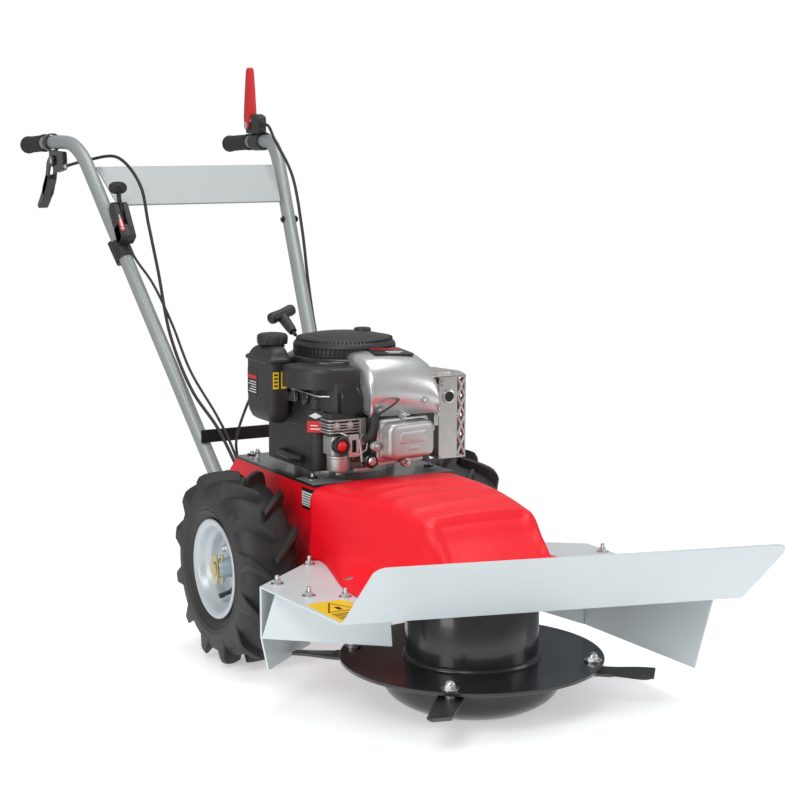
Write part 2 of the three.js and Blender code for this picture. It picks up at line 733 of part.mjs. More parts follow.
// The silver air shroud over the cylinder, hollow below.
function blowerShroud() {
  const outside = loft([
    [[-41, 371, 430], [100, 393, 430], [100, 393, 505], [80, 393, 526], [-10, 371, 530], [-41, 371, 516]],
    [[-41, 300, 430], [98, 290, 422], [98, 290, 480], [78, 290, 506], [-22, 300, 520], [-41, 300, 505]],
    [[-36, 284, 430], [92, 272, 422], [92, 272, 462], [72, 272, 480], [-18, 284, 492], [-36, 284, 480]],
  ]);
  const hollow = loft([
    [[-36, 400, 400], [95, 400, 400], [95, 400, 500], [77, 400, 520], [-10, 400, 524], [-36, 400, 510]],
    [[-36, 300, 400], [93, 294, 400], [93, 294, 475], [75, 294, 500], [-20, 300, 514], [-36, 300, 500]],
    [[-32, 290, 400], [88, 278, 400], [88, 278, 457], [70, 278, 474], [-16, 290, 486], [-32, 290, 475]],
  ]);
  const cowlRoom = disc(106 + gap, [440, 530], 0, crankY, 28);
  return cut(outside, hollow, cowlRoom);
}
add("blower_shroud", blowerShroud(), paint.silver);

function airFilterBox() {
  const outline = [[-118, 530], [-116, 352], [-104, 344], [-60, 344], [-60, 372], [-98, 410], [-98, 530]];
  return slabXY(outline, [322, 480.6]);
}
add("air_filter_box", airFilterBox(), paint.blackPlastic);

const fuelCapX = -130;
const fuelCapY = 480;

function fuelTank() {
  const rings = [
    [398, 8], [424, 0], [506, 0], [510, -3], [516, -3], [518, 2], [528, 8], [534, 18],
  ].map(([z, inset]) => {
    const [x0, x1] = [-165 + inset, -120.4 - Math.max(inset, 0) * 0.3];
    const [y0, y1] = [420 + inset, 520 - inset];
    return [[x0, y0, z], [x1, y0, z], [x1, y1, z], [x0, y1, z]];
  });
  return join(loft(rings), disc(20, [500, 534.4], fuelCapX, fuelCapY, 16));
}
add("fuel_tank", fuelTank(), paint.blackPlastic);
add(
  "fuel_cap",
  turned([[0, 534.7], [27, 534.7], [28, 544], [25, 552], [0, 554]], 16, fuelCapX, fuelCapY),
  paint.blackPlastic,
);

function carburettor() {
  const bowl = disc(21, [326, 356], -84, 312, 16);
  const body = box([-104, -62], [298, 340], [350, 392]);
  const throat = box([-70, -56], [306, 336], [356, 384]);
  const primerSeat = pinAlongY(15, [284, 300], -90, 375, 16);
  const recess = pinAlongY(10.6, [282, 300], -90, 375, 16);
  return cut(join(bowl, body, throat, primerSeat), recess);
}
add("carburettor", carburettor(), paint.castAluminium);
add("primer_bulb", pinAlongY(10, [281, 293], -90, 375, 16), paint.redPlastic);

add("muffler", box([114, 158], [304, 396], [346, 470]), paint.castAluminium);

function mufflerGuard() {
  const shell = box([108, 164], [294, 400], [334, 484]);
  const inside = box([111, 161], [297, 410], [337, 481]);
  const outlet = pinAlongY(9, [280, 299], 130, 446, 16);
  const slots = [360, 390].map((z) => box([142, 156], [280, 300], [z, z + 22]));
  return cut(shell, inside, outlet, ...slots);
}
add("muffler_guard", mufflerGuard(), paint.zinc);

// The starter grip with the short length of rope that shows below it.
function recoilHandle() {
  const foot = [-62, 522, 541];
  const top = [-70, 566, 574];
  const stem = turnedBetween(foot, top, [[0, 2], [4, 2], [4, 12], [9, 12], [11, 48], [0, 48]], 12);
  const grip = rodBetween([-98, 556, 570], [-42, 576, 584], 11, 12);
  return join(stem, grip);
}
add("recoil_handle", recoilHandle(), paint.blackPlastic);

// ---------------------------------------------------------------- handlebar
// The centre line of a handlebar tube, from its foot between the side plates up to the grip.
const tubeLine = [
  [112.8, 676, 160.3], [130.3, 757.9, 271.3], [205.6, 1110, 748.3], [214, 1150, 803], [222, 1190, 852],
  [229, 1232, 876], [236, 1290, 880.5], [gripX, 1345, 878.4], [gripX, 1410, 874.9], [gripX, 1475, 871.4],
];
const gripDrop = 7 / 130; // fall of the grip for each millimetre back

function tubeCentre(y) {
  const along = (y - 757.9) / 0.589;
  return [130.3 + 0.126 * along, y, 271.3 + 0.798 * along];
}

function handleTube(side) {
  const line = side > 0 ? tubeLine : mirrored(tubeLine);
  const tube = bar(line, handleTubeRadius, 8, 16, handleTubeWall);
  const shank = [side * 100, side * (chassisHalfWidth + 4)].sort((a, b) => a - b);
  const head = [side * (chassisHalfWidth + gap), side * (chassisHalfWidth + 8)].sort((a, b) => a - b);
  return join(
    tube,
    pinAlongX(6, shank, handlePivot.y, handlePivot.z, 12),
    pinAlongX(11, head, handlePivot.y, handlePivot.z, 6),
  );
}
add("right_handle_tube", handleTube(-1), paint.tube);
add("left_handle_tube", handleTube(1), paint.tube);

// The panel between the tubes, in the plane of their slope, with a lip folded back along its foot.
function crossPlate() {
  const [low, high] = [{ x: 184, y: 1094, z: 757 }, { x: 203, y: 1166, z: 832 }];
  const ring = (side) => [
    [side * low.x, low.y, low.z], [side * high.x, high.y, high.z],
    [side * high.x, high.y + 2.2, high.z - 2.1], [side * low.x, low.y + 2.2, low.z - 2.1],
  ];
  const lip = box([-low.x, low.x], [low.y + 1, low.y + 16], [low.z - 3, low.z]);
  return join(loft([ring(-1), ring(1)]), lip);
}
add("handle_cross_plate", crossPlate(), paint.tube);

function lowerCrossbar() {
  const [, y, z] = tubeCentre(796);
  return box([-147, 147], [y - 32, y - 27.5], [z - 12, z + 13]);
}
add("lower_crossbar", lowerCrossbar(), paint.black);

function grip(side) {
  const height = (y) => 878.4 - gripDrop * (y - 1345);
  const start = [side * gripX, gripStartY, height(gripStartY)];
  const end = [side * gripX, gripEndY, height(gripEndY)];
  const length = gripEndY - gripStartY;
  const bore = handleTubeRadius + 1.4;
  const profile = [
    [bore, 0], [19, 0], [19, 6], [17.5, 8], [17.5, length - 8], [19, length - 6], [19, length], [0, length],
    [0, length - 7], [bore, length - 7],
  ];
  return turnedBetween(start, end, profile, 14);
}
add("right_grip", grip(-1), paint.rubber);
add("left_grip", grip(1), paint.rubber);

// The clutch lever's bracket hangs under the right tube, just ahead of the grip.
function clutchMount() {
  const clamp = turnedBetween(
    [-gripX + 2.1, 1322, 879.3], [-gripX + 0.5, 1340, 878.6],
    [[handleTubeRadius + 2, 0], [19.3, 0], [19.3, 17], [handleTubeRadius + 2, 17]],
    14,
  );
  const cheek = slabYZ([[1250, 860], [1338, 863], [1334, 838], [1296, 816], [1248, 824]], [-245, -235]);
  const pin = pinAlongX(4, [-252, -230], 1308, 842, 12);
  return join(clamp, cheek, pin);
}
add("clutch_lever_mount", clutchMount(), paint.black);

function clutchLever() {
  const hub = [
    [1360, 764], [1334, 800], [1318, 834], [1300, 832], [1298, 850], [1318, 852], [1340, 838], [1346, 812],
    [1372, 778],
  ];
  const blade = [[1346, 812], [1372, 778], [1406, 742], [1398, 736], [1360, 764], [1334, 800]];
  const cheeks = [[-250, -245], [-235, -230]].map((x) => slabYZ(hub, x));
  const bore = pinAlongX(4 + runningClearance, [-260, -220], 1308, 842);
  return cut(join(...cheeks, slabYZ(blade, [-250, -230])), bore);
}
add("clutch_lever", clutchLever(), paint.black);

// The blade lever stands up from a clamp on the left tube, just ahead of the grip.
const bladePivot = { x: 225, y: 1332, z: 914 };

function bladeMount() {
  const { x, y, z } = bladePivot;
  const clamp = turnedBetween(
    [gripX - 5, 1283, 880.4], [gripX, 1340, 878.6],
    [[handleTubeRadius + 2, 0], [21, 0], [21, 56], [handleTubeRadius + 2, 56]],
    14,
  );
  const cheek = box([x - 5, x + 5], [y - 24, y + 14], [z - 17, z + 9]);
  const cableStop = box([x - 8, x + 11], [y - 60, y - 23], [z - 17, z + 27]);
  return join(clamp, cheek, cableStop, pinAlongX(4, [x - 13, x + 13], y, z));
}
add("blade_lever_mount", bladeMount(), paint.black);

function bladeLever() {
  const { x, y, z } = bladePivot;
  const foot = [[-9, -8], [9, -8], [12, 8], [15, 26], [-15, 26], [-12, 8]];
  const ring = (halfX, halfY, dz) => [
    [x - halfX, y - halfY, z + dz], [x + halfX, y - halfY, z + dz],
    [x + halfX, y + halfY, z + dz], [x - halfX, y + halfY, z + dz],
  ];
  const handle = loft([ring(10, 15, 25.5), ring(6.5, 9, 124), ring(4.5, 7, 128)]);
  const solid = join(slabYZ(foot.map(([dy, dz]) => [y + dy, z + dz]), [x - 10, x + 10]), handle);
  const slot = box([x - 5.5, x + 5.5], [y - 40, y + 40], [z - 20, z + 24]);
  return cut(solid, slot, pinAlongX(4 + runningClearance, [x - 20, x + 20], y, z));
}
add("blade_lever", bladeLever(), paint.redPlastic);

// The throttle control on the front of the right tube, lying along the tube's slope.
const throttlePivot = [-192, 1050, 724];
function throttleHousing() {
  const body = slabYZ(
    [[1012, 696], [1036, 678], [1081, 741], [1084, 752], [1072, 764], [1058, 762]],
    [-208, -176],
  );
  const [low, high] = mirrored([tubeCentre(1038), tubeCentre(1062)]);
  const profile = [[handleTubeRadius + 1.6, 0], [20, 0], [20, 38], [handleTubeRadius + 1.6, 38]];
  const clamp = turnedBetween(low, high, profile, 14);
  const slot = box([-196, -188], [1018, 1100], [711, 790]);
  const solid = cut(join(body, clamp), slot);
  return join(solid, pinAlongX(3.5, [-200, -184], throttlePivot[1], throttlePivot[2], 10));
}
add("throttle_housing", throttleHousing(), paint.blackPlastic);

function throttleLever() {
  const stem = slabYZ([[1042, 715], [1058, 715], [1077, 786], [1064, 788]], [-194.5, -189.5]);
  const knobProfile = [[0, -211], [10, -211], [13, -205], [13, -180], [10, -174], [0, -174]];
  const knob = turnedAlongX(knobProfile, 12, 1071, 792);
  const bore = pinAlongX(3.5 + runningClearance, [-200, -184], throttlePivot[1], throttlePivot[2], 10);
  return cut(join(stem, knob), bore);
}
add("throttle_lever", throttleLever(), paint.blackPlastic);

// ---------------------------------------------------------------- control cables
// Each cable is held all the way, from its lever down a tube to the foot of the handlebar.
const clutchCable = [
  [-240, 1240, 832], [-226, 1222, 838], [-200, 1204, 846], [-178, 1099, 851], [-164, 1018, 797],
  [-160, 990, 724], [-156, 952, 631], [-150, 909, 508], [-140, 826, 406], [-120, 748, 340], [-106, 686, 268],
];
const bladeCable = [
  [226, 1267, 919], [224, 1236, 914], [212, 1180, 886], [215, 1100, 811], [210, 1043, 699],
  [200, 996, 595], [185, 934, 500], [165, 820, 350], [150, 745, 312], [122, 705, 280], [108, 684, 258],
];
const throttleCable = [
  [-192, 1016, 678], [-184, 1000, 652], [-160, 974, 606], [-140, 926, 530], [-130, 856, 440],
  [-112, 772, 362], [-102, 736, 318], [-96, 690, 258],
];
add("clutch_cable", bar(clutchCable, 3.2, 6, 20), paint.rubber);
add("blade_cable", bar(bladeCable, 3.2, 6, 20), paint.rubber);
add("throttle_cable", bar(throttleCable, 2.6, 6, 18), paint.rubber);

export default mower;
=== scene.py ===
"""Looks of a walk-behind brush mower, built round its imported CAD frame.

Pieces are laid out in the machine's own frame, in millimetres: +X is the operator's left, +Y points back to
the handlebar and +Z is square to the cutter disc. TO_ROW turns that frame by the machine's pitch and scales it
to metres.
"""

import json
import math

import bmesh
import bpy
from mathutils import Matrix, Vector


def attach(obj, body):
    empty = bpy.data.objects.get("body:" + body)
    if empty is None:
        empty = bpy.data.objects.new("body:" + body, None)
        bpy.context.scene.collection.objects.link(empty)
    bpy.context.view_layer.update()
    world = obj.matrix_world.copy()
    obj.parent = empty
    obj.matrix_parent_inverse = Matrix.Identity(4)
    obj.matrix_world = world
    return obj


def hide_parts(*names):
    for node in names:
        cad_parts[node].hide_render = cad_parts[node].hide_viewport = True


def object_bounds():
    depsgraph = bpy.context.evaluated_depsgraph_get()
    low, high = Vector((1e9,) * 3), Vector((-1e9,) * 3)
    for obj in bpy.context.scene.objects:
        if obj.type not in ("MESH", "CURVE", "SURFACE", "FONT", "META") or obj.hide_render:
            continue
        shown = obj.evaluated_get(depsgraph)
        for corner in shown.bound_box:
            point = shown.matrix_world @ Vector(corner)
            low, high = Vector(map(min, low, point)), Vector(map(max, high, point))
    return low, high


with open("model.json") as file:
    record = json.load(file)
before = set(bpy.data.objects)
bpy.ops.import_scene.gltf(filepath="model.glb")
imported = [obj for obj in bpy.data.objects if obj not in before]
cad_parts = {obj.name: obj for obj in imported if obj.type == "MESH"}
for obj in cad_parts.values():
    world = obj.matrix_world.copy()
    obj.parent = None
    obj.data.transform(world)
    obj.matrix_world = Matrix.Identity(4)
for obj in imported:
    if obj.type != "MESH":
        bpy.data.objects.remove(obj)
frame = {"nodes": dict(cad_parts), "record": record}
cad_low, cad_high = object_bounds()
nodes = frame["nodes"]

floor_axis = frame["record"]["mounts"][0]["axis"]
PITCH = math.atan2(floor_axis[1], -floor_axis[2])
FLOOR_Z = -15  # the machine's own heights are counted from 15 mm above the skid dish's floor
TO_ROW = Matrix.Rotation(PITCH, 4, "X") @ Matrix.Scale(0.001, 4) @ Matrix.Translation((0, 0, -FLOOR_Z))
FROM_ROW = TO_ROW.inverted()


def span(node):
    """Lowest and highest corner of a CAD node in the machine's frame, in millimetres."""
    points = [FROM_ROW @ v.co for v in nodes[node].data.vertices]
    low = Vector([min(p[i] for p in points) for i in range(3)])
    high = Vector([max(p[i] for p in points) for i in range(3)])
    return low, high


# ------------------------------------------------------------------ camera
def add_camera():
    """A long-lens camera ahead of the machine's right front corner, at grip height."""
    azimuth, elevation, roll = [math.radians(angle) for angle in (29.394, 8.764, 0.223)]
    place = Vector((-1582.6, -2565.9, 952.8))
    flat = math.cos(elevation)
    ahead = Vector((math.sin(azimuth) * flat, math.cos(azimuth) * flat, -math.sin(elevation)))
    level = ahead.cross(Vector((0, 0, 1))).normalized()
    right = level * math.cos(roll) + level.cross(ahead) * math.sin(roll)
    up = right.cross(ahead)
    turn = TO_ROW.to_3x3().normalized()
    data = bpy.data.cameras.new("camera")
    data.sensor_width = 36
    data.lens = 85.04
    camera = bpy.data.objects.new("camera", data)
    bpy.context.scene.collection.objects.link(camera)
    basis = Matrix([turn @ right, turn @ up, turn @ -ahead]).transposed()
    camera.matrix_world = Matrix.Translation(TO_ROW @ place) @ basis.to_4x4()
    bpy.context.scene.camera = camera


add_camera()


# ------------------------------------------------------------------ shader helpers
def node(tree, kind, **values):
    """Adds a shader node; values name its sockets (with _ for a space) or its own settings."""
    made = tree.nodes.new(kind)
    for name, value in values.items():
        socket = name.replace("_", " ")
        if socket in made.inputs:
            made.inputs[socket].default_value = value
        else:
            setattr(made, name, value)
    return made


def wire(tree, start, output, end, socket):
    tree.links.new(start.outputs[output], end.inputs[socket])


# ------------------------------------------------------------------ stage and light
WHITE = (1, 1, 1, 1)
FLOOR_HALF = 30
FLOOR_GLOW = 0.42
FLOOR_FADE = (0.7, 2.2)  # metres from the middle between which the floor gives way to the white behind it
WORLD_LIGHT = 0.42


def floor_material():
    """A white floor that glows a little and fades out round the machine, so that no horizon shows."""
    material = bpy.data.materials.new("floor")
    material.use_nodes = True
    tree = material.node_tree
    shader = tree.nodes["Principled BSDF"]
    shader.inputs["Base Color"].default_value = (0.93, 0.93, 0.93, 1)
    shader.inputs["Roughness"].default_value = 0.75
    shader.inputs["Emission Color"].default_value = WHITE
    shader.inputs["Emission Strength"].default_value = FLOOR_GLOW
    place = node(tree, "ShaderNodeTexCoord")
    reach = node(tree, "ShaderNodeVectorMath", operation="LENGTH")
    fade = node(tree, "ShaderNodeMapRange", interpolation_type="SMOOTHSTEP")
    fade.inputs["From Min"].default_value, fade.inputs["From Max"].default_value = FLOOR_FADE
    clear = node(tree, "ShaderNodeBsdfTransparent")
    blend = node(tree, "ShaderNodeMixShader")
    wire(tree, place, "Object", reach, 0)
    wire(tree, reach, "Value", fade, "Value")
    wire(tree, fade, "Result", blend, "Fac")
    wire(tree, shader, "BSDF", blend, 1)
    wire(tree, clear, "BSDF", blend, 2)
    wire(tree, blend, "Shader", tree.nodes["Material Output"], "Surface")
    return material


def add_stage():
    mesh = bpy.data.meshes.new("floor")
    corners = [(-1, -1), (1, -1), (1, 1), (-1, 1)]
    mesh.from_pydata([(x * FLOOR_HALF, y * FLOOR_HALF, cad_low.z) for x, y in corners], [], [(0, 1, 2, 3)])
    floor = bpy.data.objects.new("floor", mesh)
    bpy.context.scene.collection.objects.link(floor)
    mesh.materials.append(floor_material())


def add_light(name, place, target, size, power):
    """A square area lamp, with its size in metres and its power in watts."""
    data = bpy.data.lights.new(name, "AREA")
    data.shape = "RECTANGLE"
    data.size = size
    data.size_y = size
    data.energy = power
    light = bpy.data.objects.new(name, data)
    bpy.context.scene.collection.objects.link(light)
    light.location = place
    light.rotation_euler = (Vector(target) - Vector(place)).to_track_quat("-Z", "Y").to_euler()


def add_world():
    """A soft white surround that looks pure white to the camera."""
    world = bpy.data.worlds.new("studio")
    world.use_nodes = True
    tree = world.node_tree
    glow = tree.nodes["Background"]
    glow.inputs["Color"].default_value = WHITE
    glow.inputs["Strength"].default_value = WORLD_LIGHT
    backdrop = node(tree, "ShaderNodeBackground", Color=WHITE, Strength=1.0)
    seen = node(tree, "ShaderNodeLightPath")
    choose = node(tree, "ShaderNodeMixShader")
    wire(tree, seen, "Is Camera Ray", choose, "Fac")
    wire(tree, glow, "Background", choose, 1)
    wire(tree, backdrop, "Background", choose, 2)
    wire(tree, choose, "Shader", tree.nodes["World Output"], "Surface")
    bpy.context.scene.world = world
    bpy.context.scene.view_settings.view_transform = "Standard"


add_stage()
add_world()
middle = (cad_low + cad_high) / 2
add_light("key", (-2.6, -2.4, 3.4), middle, 1.6, 68)
add_light("overhead", (0.6, 0.4, 3.8), middle, 2.4, 54)
add_light("fill", (3.2, -2.2, 1.6), middle, 1.6, 26)
add_light("side", (-3.4, -1.0, 1.0), middle, 1.4, 30)


# ------------------------------------------------------------------ materials
slot_of = {}


def surface(name, slot, colour, roughness, metallic=0.0, tint=0.08, patch=40, bump=0.06, grain=1.2, coat=0.0):
    """A shader whose colour and roughness drift over patches and whose skin has a fine grain, sizes in mm."""
    material = bpy.data.materials.new(name)
    slot_of[material.name] = slot
    material.use_nodes = True
    tree = material.node_tree
    shader = tree.nodes["Principled BSDF"]
    shader.inputs["Metallic"].default_value = metallic
    shader.inputs["Coat Weight"].default_value = coat
    shader.inputs["Coat Roughness"].default_value = 0.08
    where = node(tree, "ShaderNodeTexCoord")
    patches = node(tree, "ShaderNodeTexNoise", Scale=1000 / patch, Detail=4, Roughness=0.6)
    wire(tree, where, "Object", patches, "Vector")
    colours = node(tree, "ShaderNodeMix", data_type="RGBA")
    dark = [c * (1 - tint) for c in colour]
    light = [min(c * (1 + tint) + tint * 0.03, 1) for c in colour]
    for socket in colours.inputs:
        if socket.type == "RGBA":
            socket.default_value = (*(dark if socket.name == "A" else light), 1)
    wire(tree, patches, "Fac", colours, "Factor")
    result = [socket for socket in colours.outputs if socket.type == "RGBA"][0]
    tree.links.new(result, shader.inputs["Base Color"])
    spread = 0.08
    rough = node(tree, "ShaderNodeMapRange")
    rough.inputs["To Min"].default_value = max(roughness - spread, 0.03)
    rough.inputs["To Max"].default_value = min(roughness + spread, 1)
    wire(tree, patches, "Fac", rough, "Value")
    wire(tree, rough, "Result", shader, "Roughness")
    grains = node(tree, "ShaderNodeTexNoise", Scale=1000 / grain, Detail=2)
    wire(tree, where, "Object", grains, "Vector")
    relief = node(tree, "ShaderNodeBump", Strength=min(bump * 3, 1), Distance=0.001 * bump)
    wire(tree, grains, "Fac", relief, "Height")
    wire(tree, relief, "Normal", shader, "Normal")
    return material


RED = surface("red_paint", "red_paint", (0.80, 0.0, 0.010), 0.36, tint=0.05, patch=120, bump=0.05, grain=2.5)
HOOD_RED = surface("hood_red", "hood_red", (0.90, 0.0, 0.012), 0.42, tint=0.05, patch=90, bump=0.07,
                   grain=0.9)
GUARD = surface("guard_grey", "guard_grey", (0.60, 0.66, 0.68), 0.34, tint=0.03, patch=150, bump=0.04,
                grain=3.0)
TUBE = surface("tube_grey", "tube_grey", (0.33, 0.355, 0.355), 0.36, 0.25, tint=0.04, patch=60, bump=0.05,
               grain=1.5)
RIM = surface("rim_grey", "rim_grey", (0.50, 0.54, 0.57), 0.34, 0.2, tint=0.05, patch=50, bump=0.06,
              grain=2.0)
BLACK = surface("black_paint", "black_paint", (0.012, 0.012, 0.013), 0.24, tint=0.2, patch=60, bump=0.06,
                grain=2.2, coat=0.3)
DECK_GREY = surface("deck_grey", "guard_grey", (0.25, 0.27, 0.28), 0.38, 0.3, tint=0.06, patch=50,
                    bump=0.05, grain=1.5)
PLASTIC = surface("black_plastic", "black_plastic", (0.020, 0.020, 0.021), 0.46, tint=0.2, patch=30,
                  bump=0.10, grain=0.7)
GLOSSY = surface("glossy_black", "black_plastic", (0.016, 0.016, 0.017), 0.20, tint=0.2, patch=30,
                 bump=0.04, grain=1.5)
RUBBER = surface("black_rubber", "black_rubber", (0.018, 0.018, 0.018), 0.62, tint=0.2, patch=15, bump=0.12,
                 grain=0.8)
TYRE = surface("tyre_rubber", "tyre_rubber", (0.017, 0.018, 0.017), 0.55, tint=0.3, patch=25, bump=0.16,
               grain=1.2)
ZINC = surface("zinc", "zinc_steel", (0.62, 0.63, 0.64), 0.28, 0.95, tint=0.12, patch=8, bump=0.05,
               grain=0.6)
YELLOW_ZINC = surface("yellow_zinc", "zinc_steel", (0.60, 0.52, 0.27), 0.32, 0.9, tint=0.18, patch=9,
                      bump=0.05, grain=0.6)
BLADE = surface("blade_steel", "blade_steel", (0.085, 0.088, 0.082), 0.42, 0.75, tint=0.25, patch=14,
                bump=0.12, grain=0.9)
CAST = surface("cast_aluminium", "cast_aluminium", (0.50, 0.50, 0.49), 0.42, 0.85, tint=0.12, patch=12,
               bump=0.22, grain=0.9)
SHROUD = surface("silver_shroud", "silver_shroud", (0.66, 0.68, 0.69), 0.30, 0.8, tint=0.06, patch=35,
                 bump=0.05, grain=1.6)
GUARD_STEEL = surface("muffler_steel", "zinc_steel", (0.60, 0.59, 0.57), 0.30, 0.85, tint=0.12, patch=18,
                      bump=0.08, grain=1.0)
RED_PLASTIC = surface("red_plastic", "red_plastic", (0.62, 0.010, 0.012), 0.38, tint=0.07, patch=25,
                      bump=0.08, grain=0.8)
DECAL_BLACK = surface("decal_black", "black_paint", (0.012, 0.012, 0.012), 0.3, tint=0.1, patch=10,
                      bump=0.01, grain=2)
DECAL_WHITE = surface("decal_white", "guard_grey", (0.72, 0.73, 0.73), 0.35, tint=0.03, patch=10, bump=0.01,
                      grain=2)
DECAL_YELLOW = surface("decal_yellow", "guard_grey", (0.85, 0.60, 0.02), 0.35, tint=0.04, patch=10,
                       bump=0.01, grain=2)
DECAL_RED = surface("decal_red", "red_plastic", (0.62, 0.01, 0.01), 0.35, tint=0.05, patch=10, bump=0.01,
                    grain=2)
HUB_BLUE = surface("hub_paint", "rim_grey", (0.36, 0.44, 0.48), 0.3, 0.3, tint=0.06, patch=20, bump=0.05,
                   grain=1.5)


# ------------------------------------------------------------------ mesh building
class Shape:
    """A mesh in the machine's frame, in millimetres, put together from simple surfaces."""

    def __init__(self):
        self.bm = bmesh.new()

    def grid(self, rows, around=True):
        """Quads between rows of points; a row of one point is a pole."""
        made = [[self.bm.verts.new(p) for p in row] for row in rows]
        for low, high in zip(made, made[1:]):
            count = max(len(low), len(high))
            for i in range(count if around else count - 1):
                j = (i + 1) % count
                corners = [low[i % len(low)], low[j % len(low)], high[j % len(high)], high[i % len(high)]]
                unique = list(dict.fromkeys(corners))
                if len(unique) > 2:
                    self.bm.faces.new(unique)
        return made

    def loft(self, rings, caps=(True, True)):
        made = self.grid(rings)
        for ring, wanted in ((made[0], caps[0]), (made[-1], caps[1])):
            if wanted and len(ring) > 2:
                self.bm.faces.new(ring)

    def revolve(self, profile, origin=(0, 0, 0), axis=(0, 0, 1), segments=64, closed=False):
        """Turns a profile of (radius, height) points about an axis."""
        place = Matrix.Translation(origin) @ Vector(axis).to_track_quat("Z", "Y").to_matrix().to_4x4()
        rows = []
        for radius, height in [*profile, profile[0]] if closed else profile:
            count = 1 if radius < 1e-6 else segments
            turns = [2 * math.pi * i / segments for i in range(count)]
            rows.append([place @ Vector((radius * math.cos(t), radius * math.sin(t), height)) for t in turns])
        self.grid(rows)
        if closed:
            bmesh.ops.remove_doubles(self.bm, verts=self.bm.verts, dist=1e-4)

    def tube(self, points, radius, sides=16, caps=(True, True)):
        """A round bar along a path; radius is a number or a function of the share of the path."""
        path = [Vector(p) for p in points]
        ahead = (path[1] - path[0]).normalized()
        across = ahead.orthogonal().normalized()
        rings = []
        for i, point in enumerate(path):
            ahead = (path[min(i + 1, len(path) - 1)] - path[max(i - 1, 0)]).normalized()
            across = (across - ahead * across.dot(ahead)).normalized()
            beside = ahead.cross(across)
            size = radius(i / (len(path) - 1)) if callable(radius) else radius
            turns = [2 * math.pi * k / sides for k in range(sides)]
            rings.append([point + (across * math.cos(t) + beside * math.sin(t)) * size for t in turns])
        self.loft(rings, caps)

    def prism(self, outline, depth, place=None):
        """A flat outline given thickness; depth is (low, high) along the placing matrix's Z."""
        place = place or Matrix.Identity(4)
        rings = [[place @ Vector((x, y, z)) for x, y in outline] for z in depth]
        self.loft(rings)

    def block(self, low, high, place=None):
        self.prism(rectangle(low, high), (low[2], high[2]), place)

    def hexagon(self, origin, axis, radius, height):
        """A hexagonal head or nut with a washer under it and a chamfered crown."""
        self.revolve([(0, 0), (radius * 1.55, 0), (radius * 1.55, 1.4), (0, 1.4)], origin, axis, 24)
        place = Matrix.Translation(origin) @ Vector(axis).to_track_quat("Z", "Y").to_matrix().to_4x4()
        ring = [(radius * math.cos(k * math.pi / 3), radius * math.sin(k * math.pi / 3)) for k in range(6)]
        rows = [(1.0, 1.2), (1.0, 1.2 + height * 0.8), (0.86, 1.2 + height)]
        self.loft([[place @ Vector((x * s, y * s, z)) for x, y in ring] for s, z in rows])

    def stud(self, origin, axis, radius, height):
        """A threaded end that stands out of a nut."""
        rows = []
        steps = max(int(height / 0.9), 2)
        for i in range(steps):
            rows.append((radius * (0.88 if i % 2 else 1.0), height * i / steps))
        self.revolve([(0, 0), *rows, (radius * 0.7, height), (0, height)], origin, axis, 16)


def round_corners(corners, radius, steps=6):
    """The same flat outline with each corner replaced by an arc; radius is one number or one per corner."""
    outline = []
    count = len(corners)
    for i, corner in enumerate(corners):
        here = Vector(corner)
        to_last = (Vector(corners[i - 1]) - here)
        to_next = (Vector(corners[(i + 1) % count]) - here)
        size = radius[i] if isinstance(radius, (list, tuple)) else radius
        size = min(size, to_last.length * 0.45, to_next.length * 0.45)
        if size < 1e-3:
            outline.append(tuple(here))
            continue
        start, end = here + to_last.normalized() * size, here + to_next.normalized() * size
        for k in range(steps + 1):
            t = k / steps
            outline.append(tuple(start * (1 - t) ** 2 + here * 2 * t * (1 - t) + end * t ** 2))
    return outline


def rectangle(low, high):
    """The corners of an upright rectangle, anticlockwise from its low corner."""
    return [(low[0], low[1]), (high[0], low[1]), (high[0], high[1]), (low[0], high[1])]


def smooth_path(points, steps=10):
    """A Catmull-Rom curve through the points, close to evenly parametrised by chord length."""
    path = [Vector(p) for p in points]
    path = [path[0] * 2 - path[1], *path, path[-1] * 2 - path[-2]]
    result = []
    for a, b, c, d in zip(path, path[1:], path[2:], path[3:]):
        ab, bc, cd = [max((q - p).length, 1e-6) ** 0.5 for p, q in ((a, b), (b, c), (c, d))]
        for k in range(steps):
            t = ab + bc * k / steps
            p1 = a.lerp(b, t / ab)
            p2 = b.lerp(c, (t - ab) / bc)
            p3 = c.lerp(d, (t - ab - bc) / cd)
            q1 = p1.lerp(p2, t / (ab + bc))
            q2 = p2.lerp(p3, (t - ab) / (bc + cd))
            result.append(q1.lerp(q2, (t - ab) / bc))
    result.append(path[-2].copy())
    return result


def finish(shape, name, material, stands_for=(), body="chassis", slot=None, bevel=0.0, smooth=40, wall=0.0):
    """Turns a shape into a named piece on a CAD body; bevel and wall are in mm, smooth in degrees."""
    slot = slot or slot_of[material.name]
    bmesh.ops.remove_doubles(shape.bm, verts=shape.bm.verts, dist=1e-3)
    bmesh.ops.recalc_face_normals(shape.bm, faces=shape.bm.faces)
    shape.bm.transform(TO_ROW)
    mesh = bpy.data.meshes.new(name)
    shape.bm.to_mesh(mesh)
    shape.bm.free()
    mesh.polygons.foreach_set("use_smooth", [True] * len(mesh.polygons))
    mesh.set_sharp_from_angle(angle=math.radians(smooth))
    mesh.materials.append(material)
    piece = bpy.data.objects.new(name, mesh)
    bpy.context.scene.collection.objects.link(piece)
    if wall:
        skin = piece.modifiers.new("wall", "SOLIDIFY")
        skin.thickness = wall * 0.001
        skin.offset = -1
    if bevel:
        soften(piece, bevel)
    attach(piece, body)
    if stands_for:
        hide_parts(*stands_for)
    return piece


def tag(name, material, low, high, place=None, **more):
    """A blank plate or stripe: one thin block of its own."""
    shape = Shape()
    shape.block(low, high, place)
    finish(shape, name, material, **more)


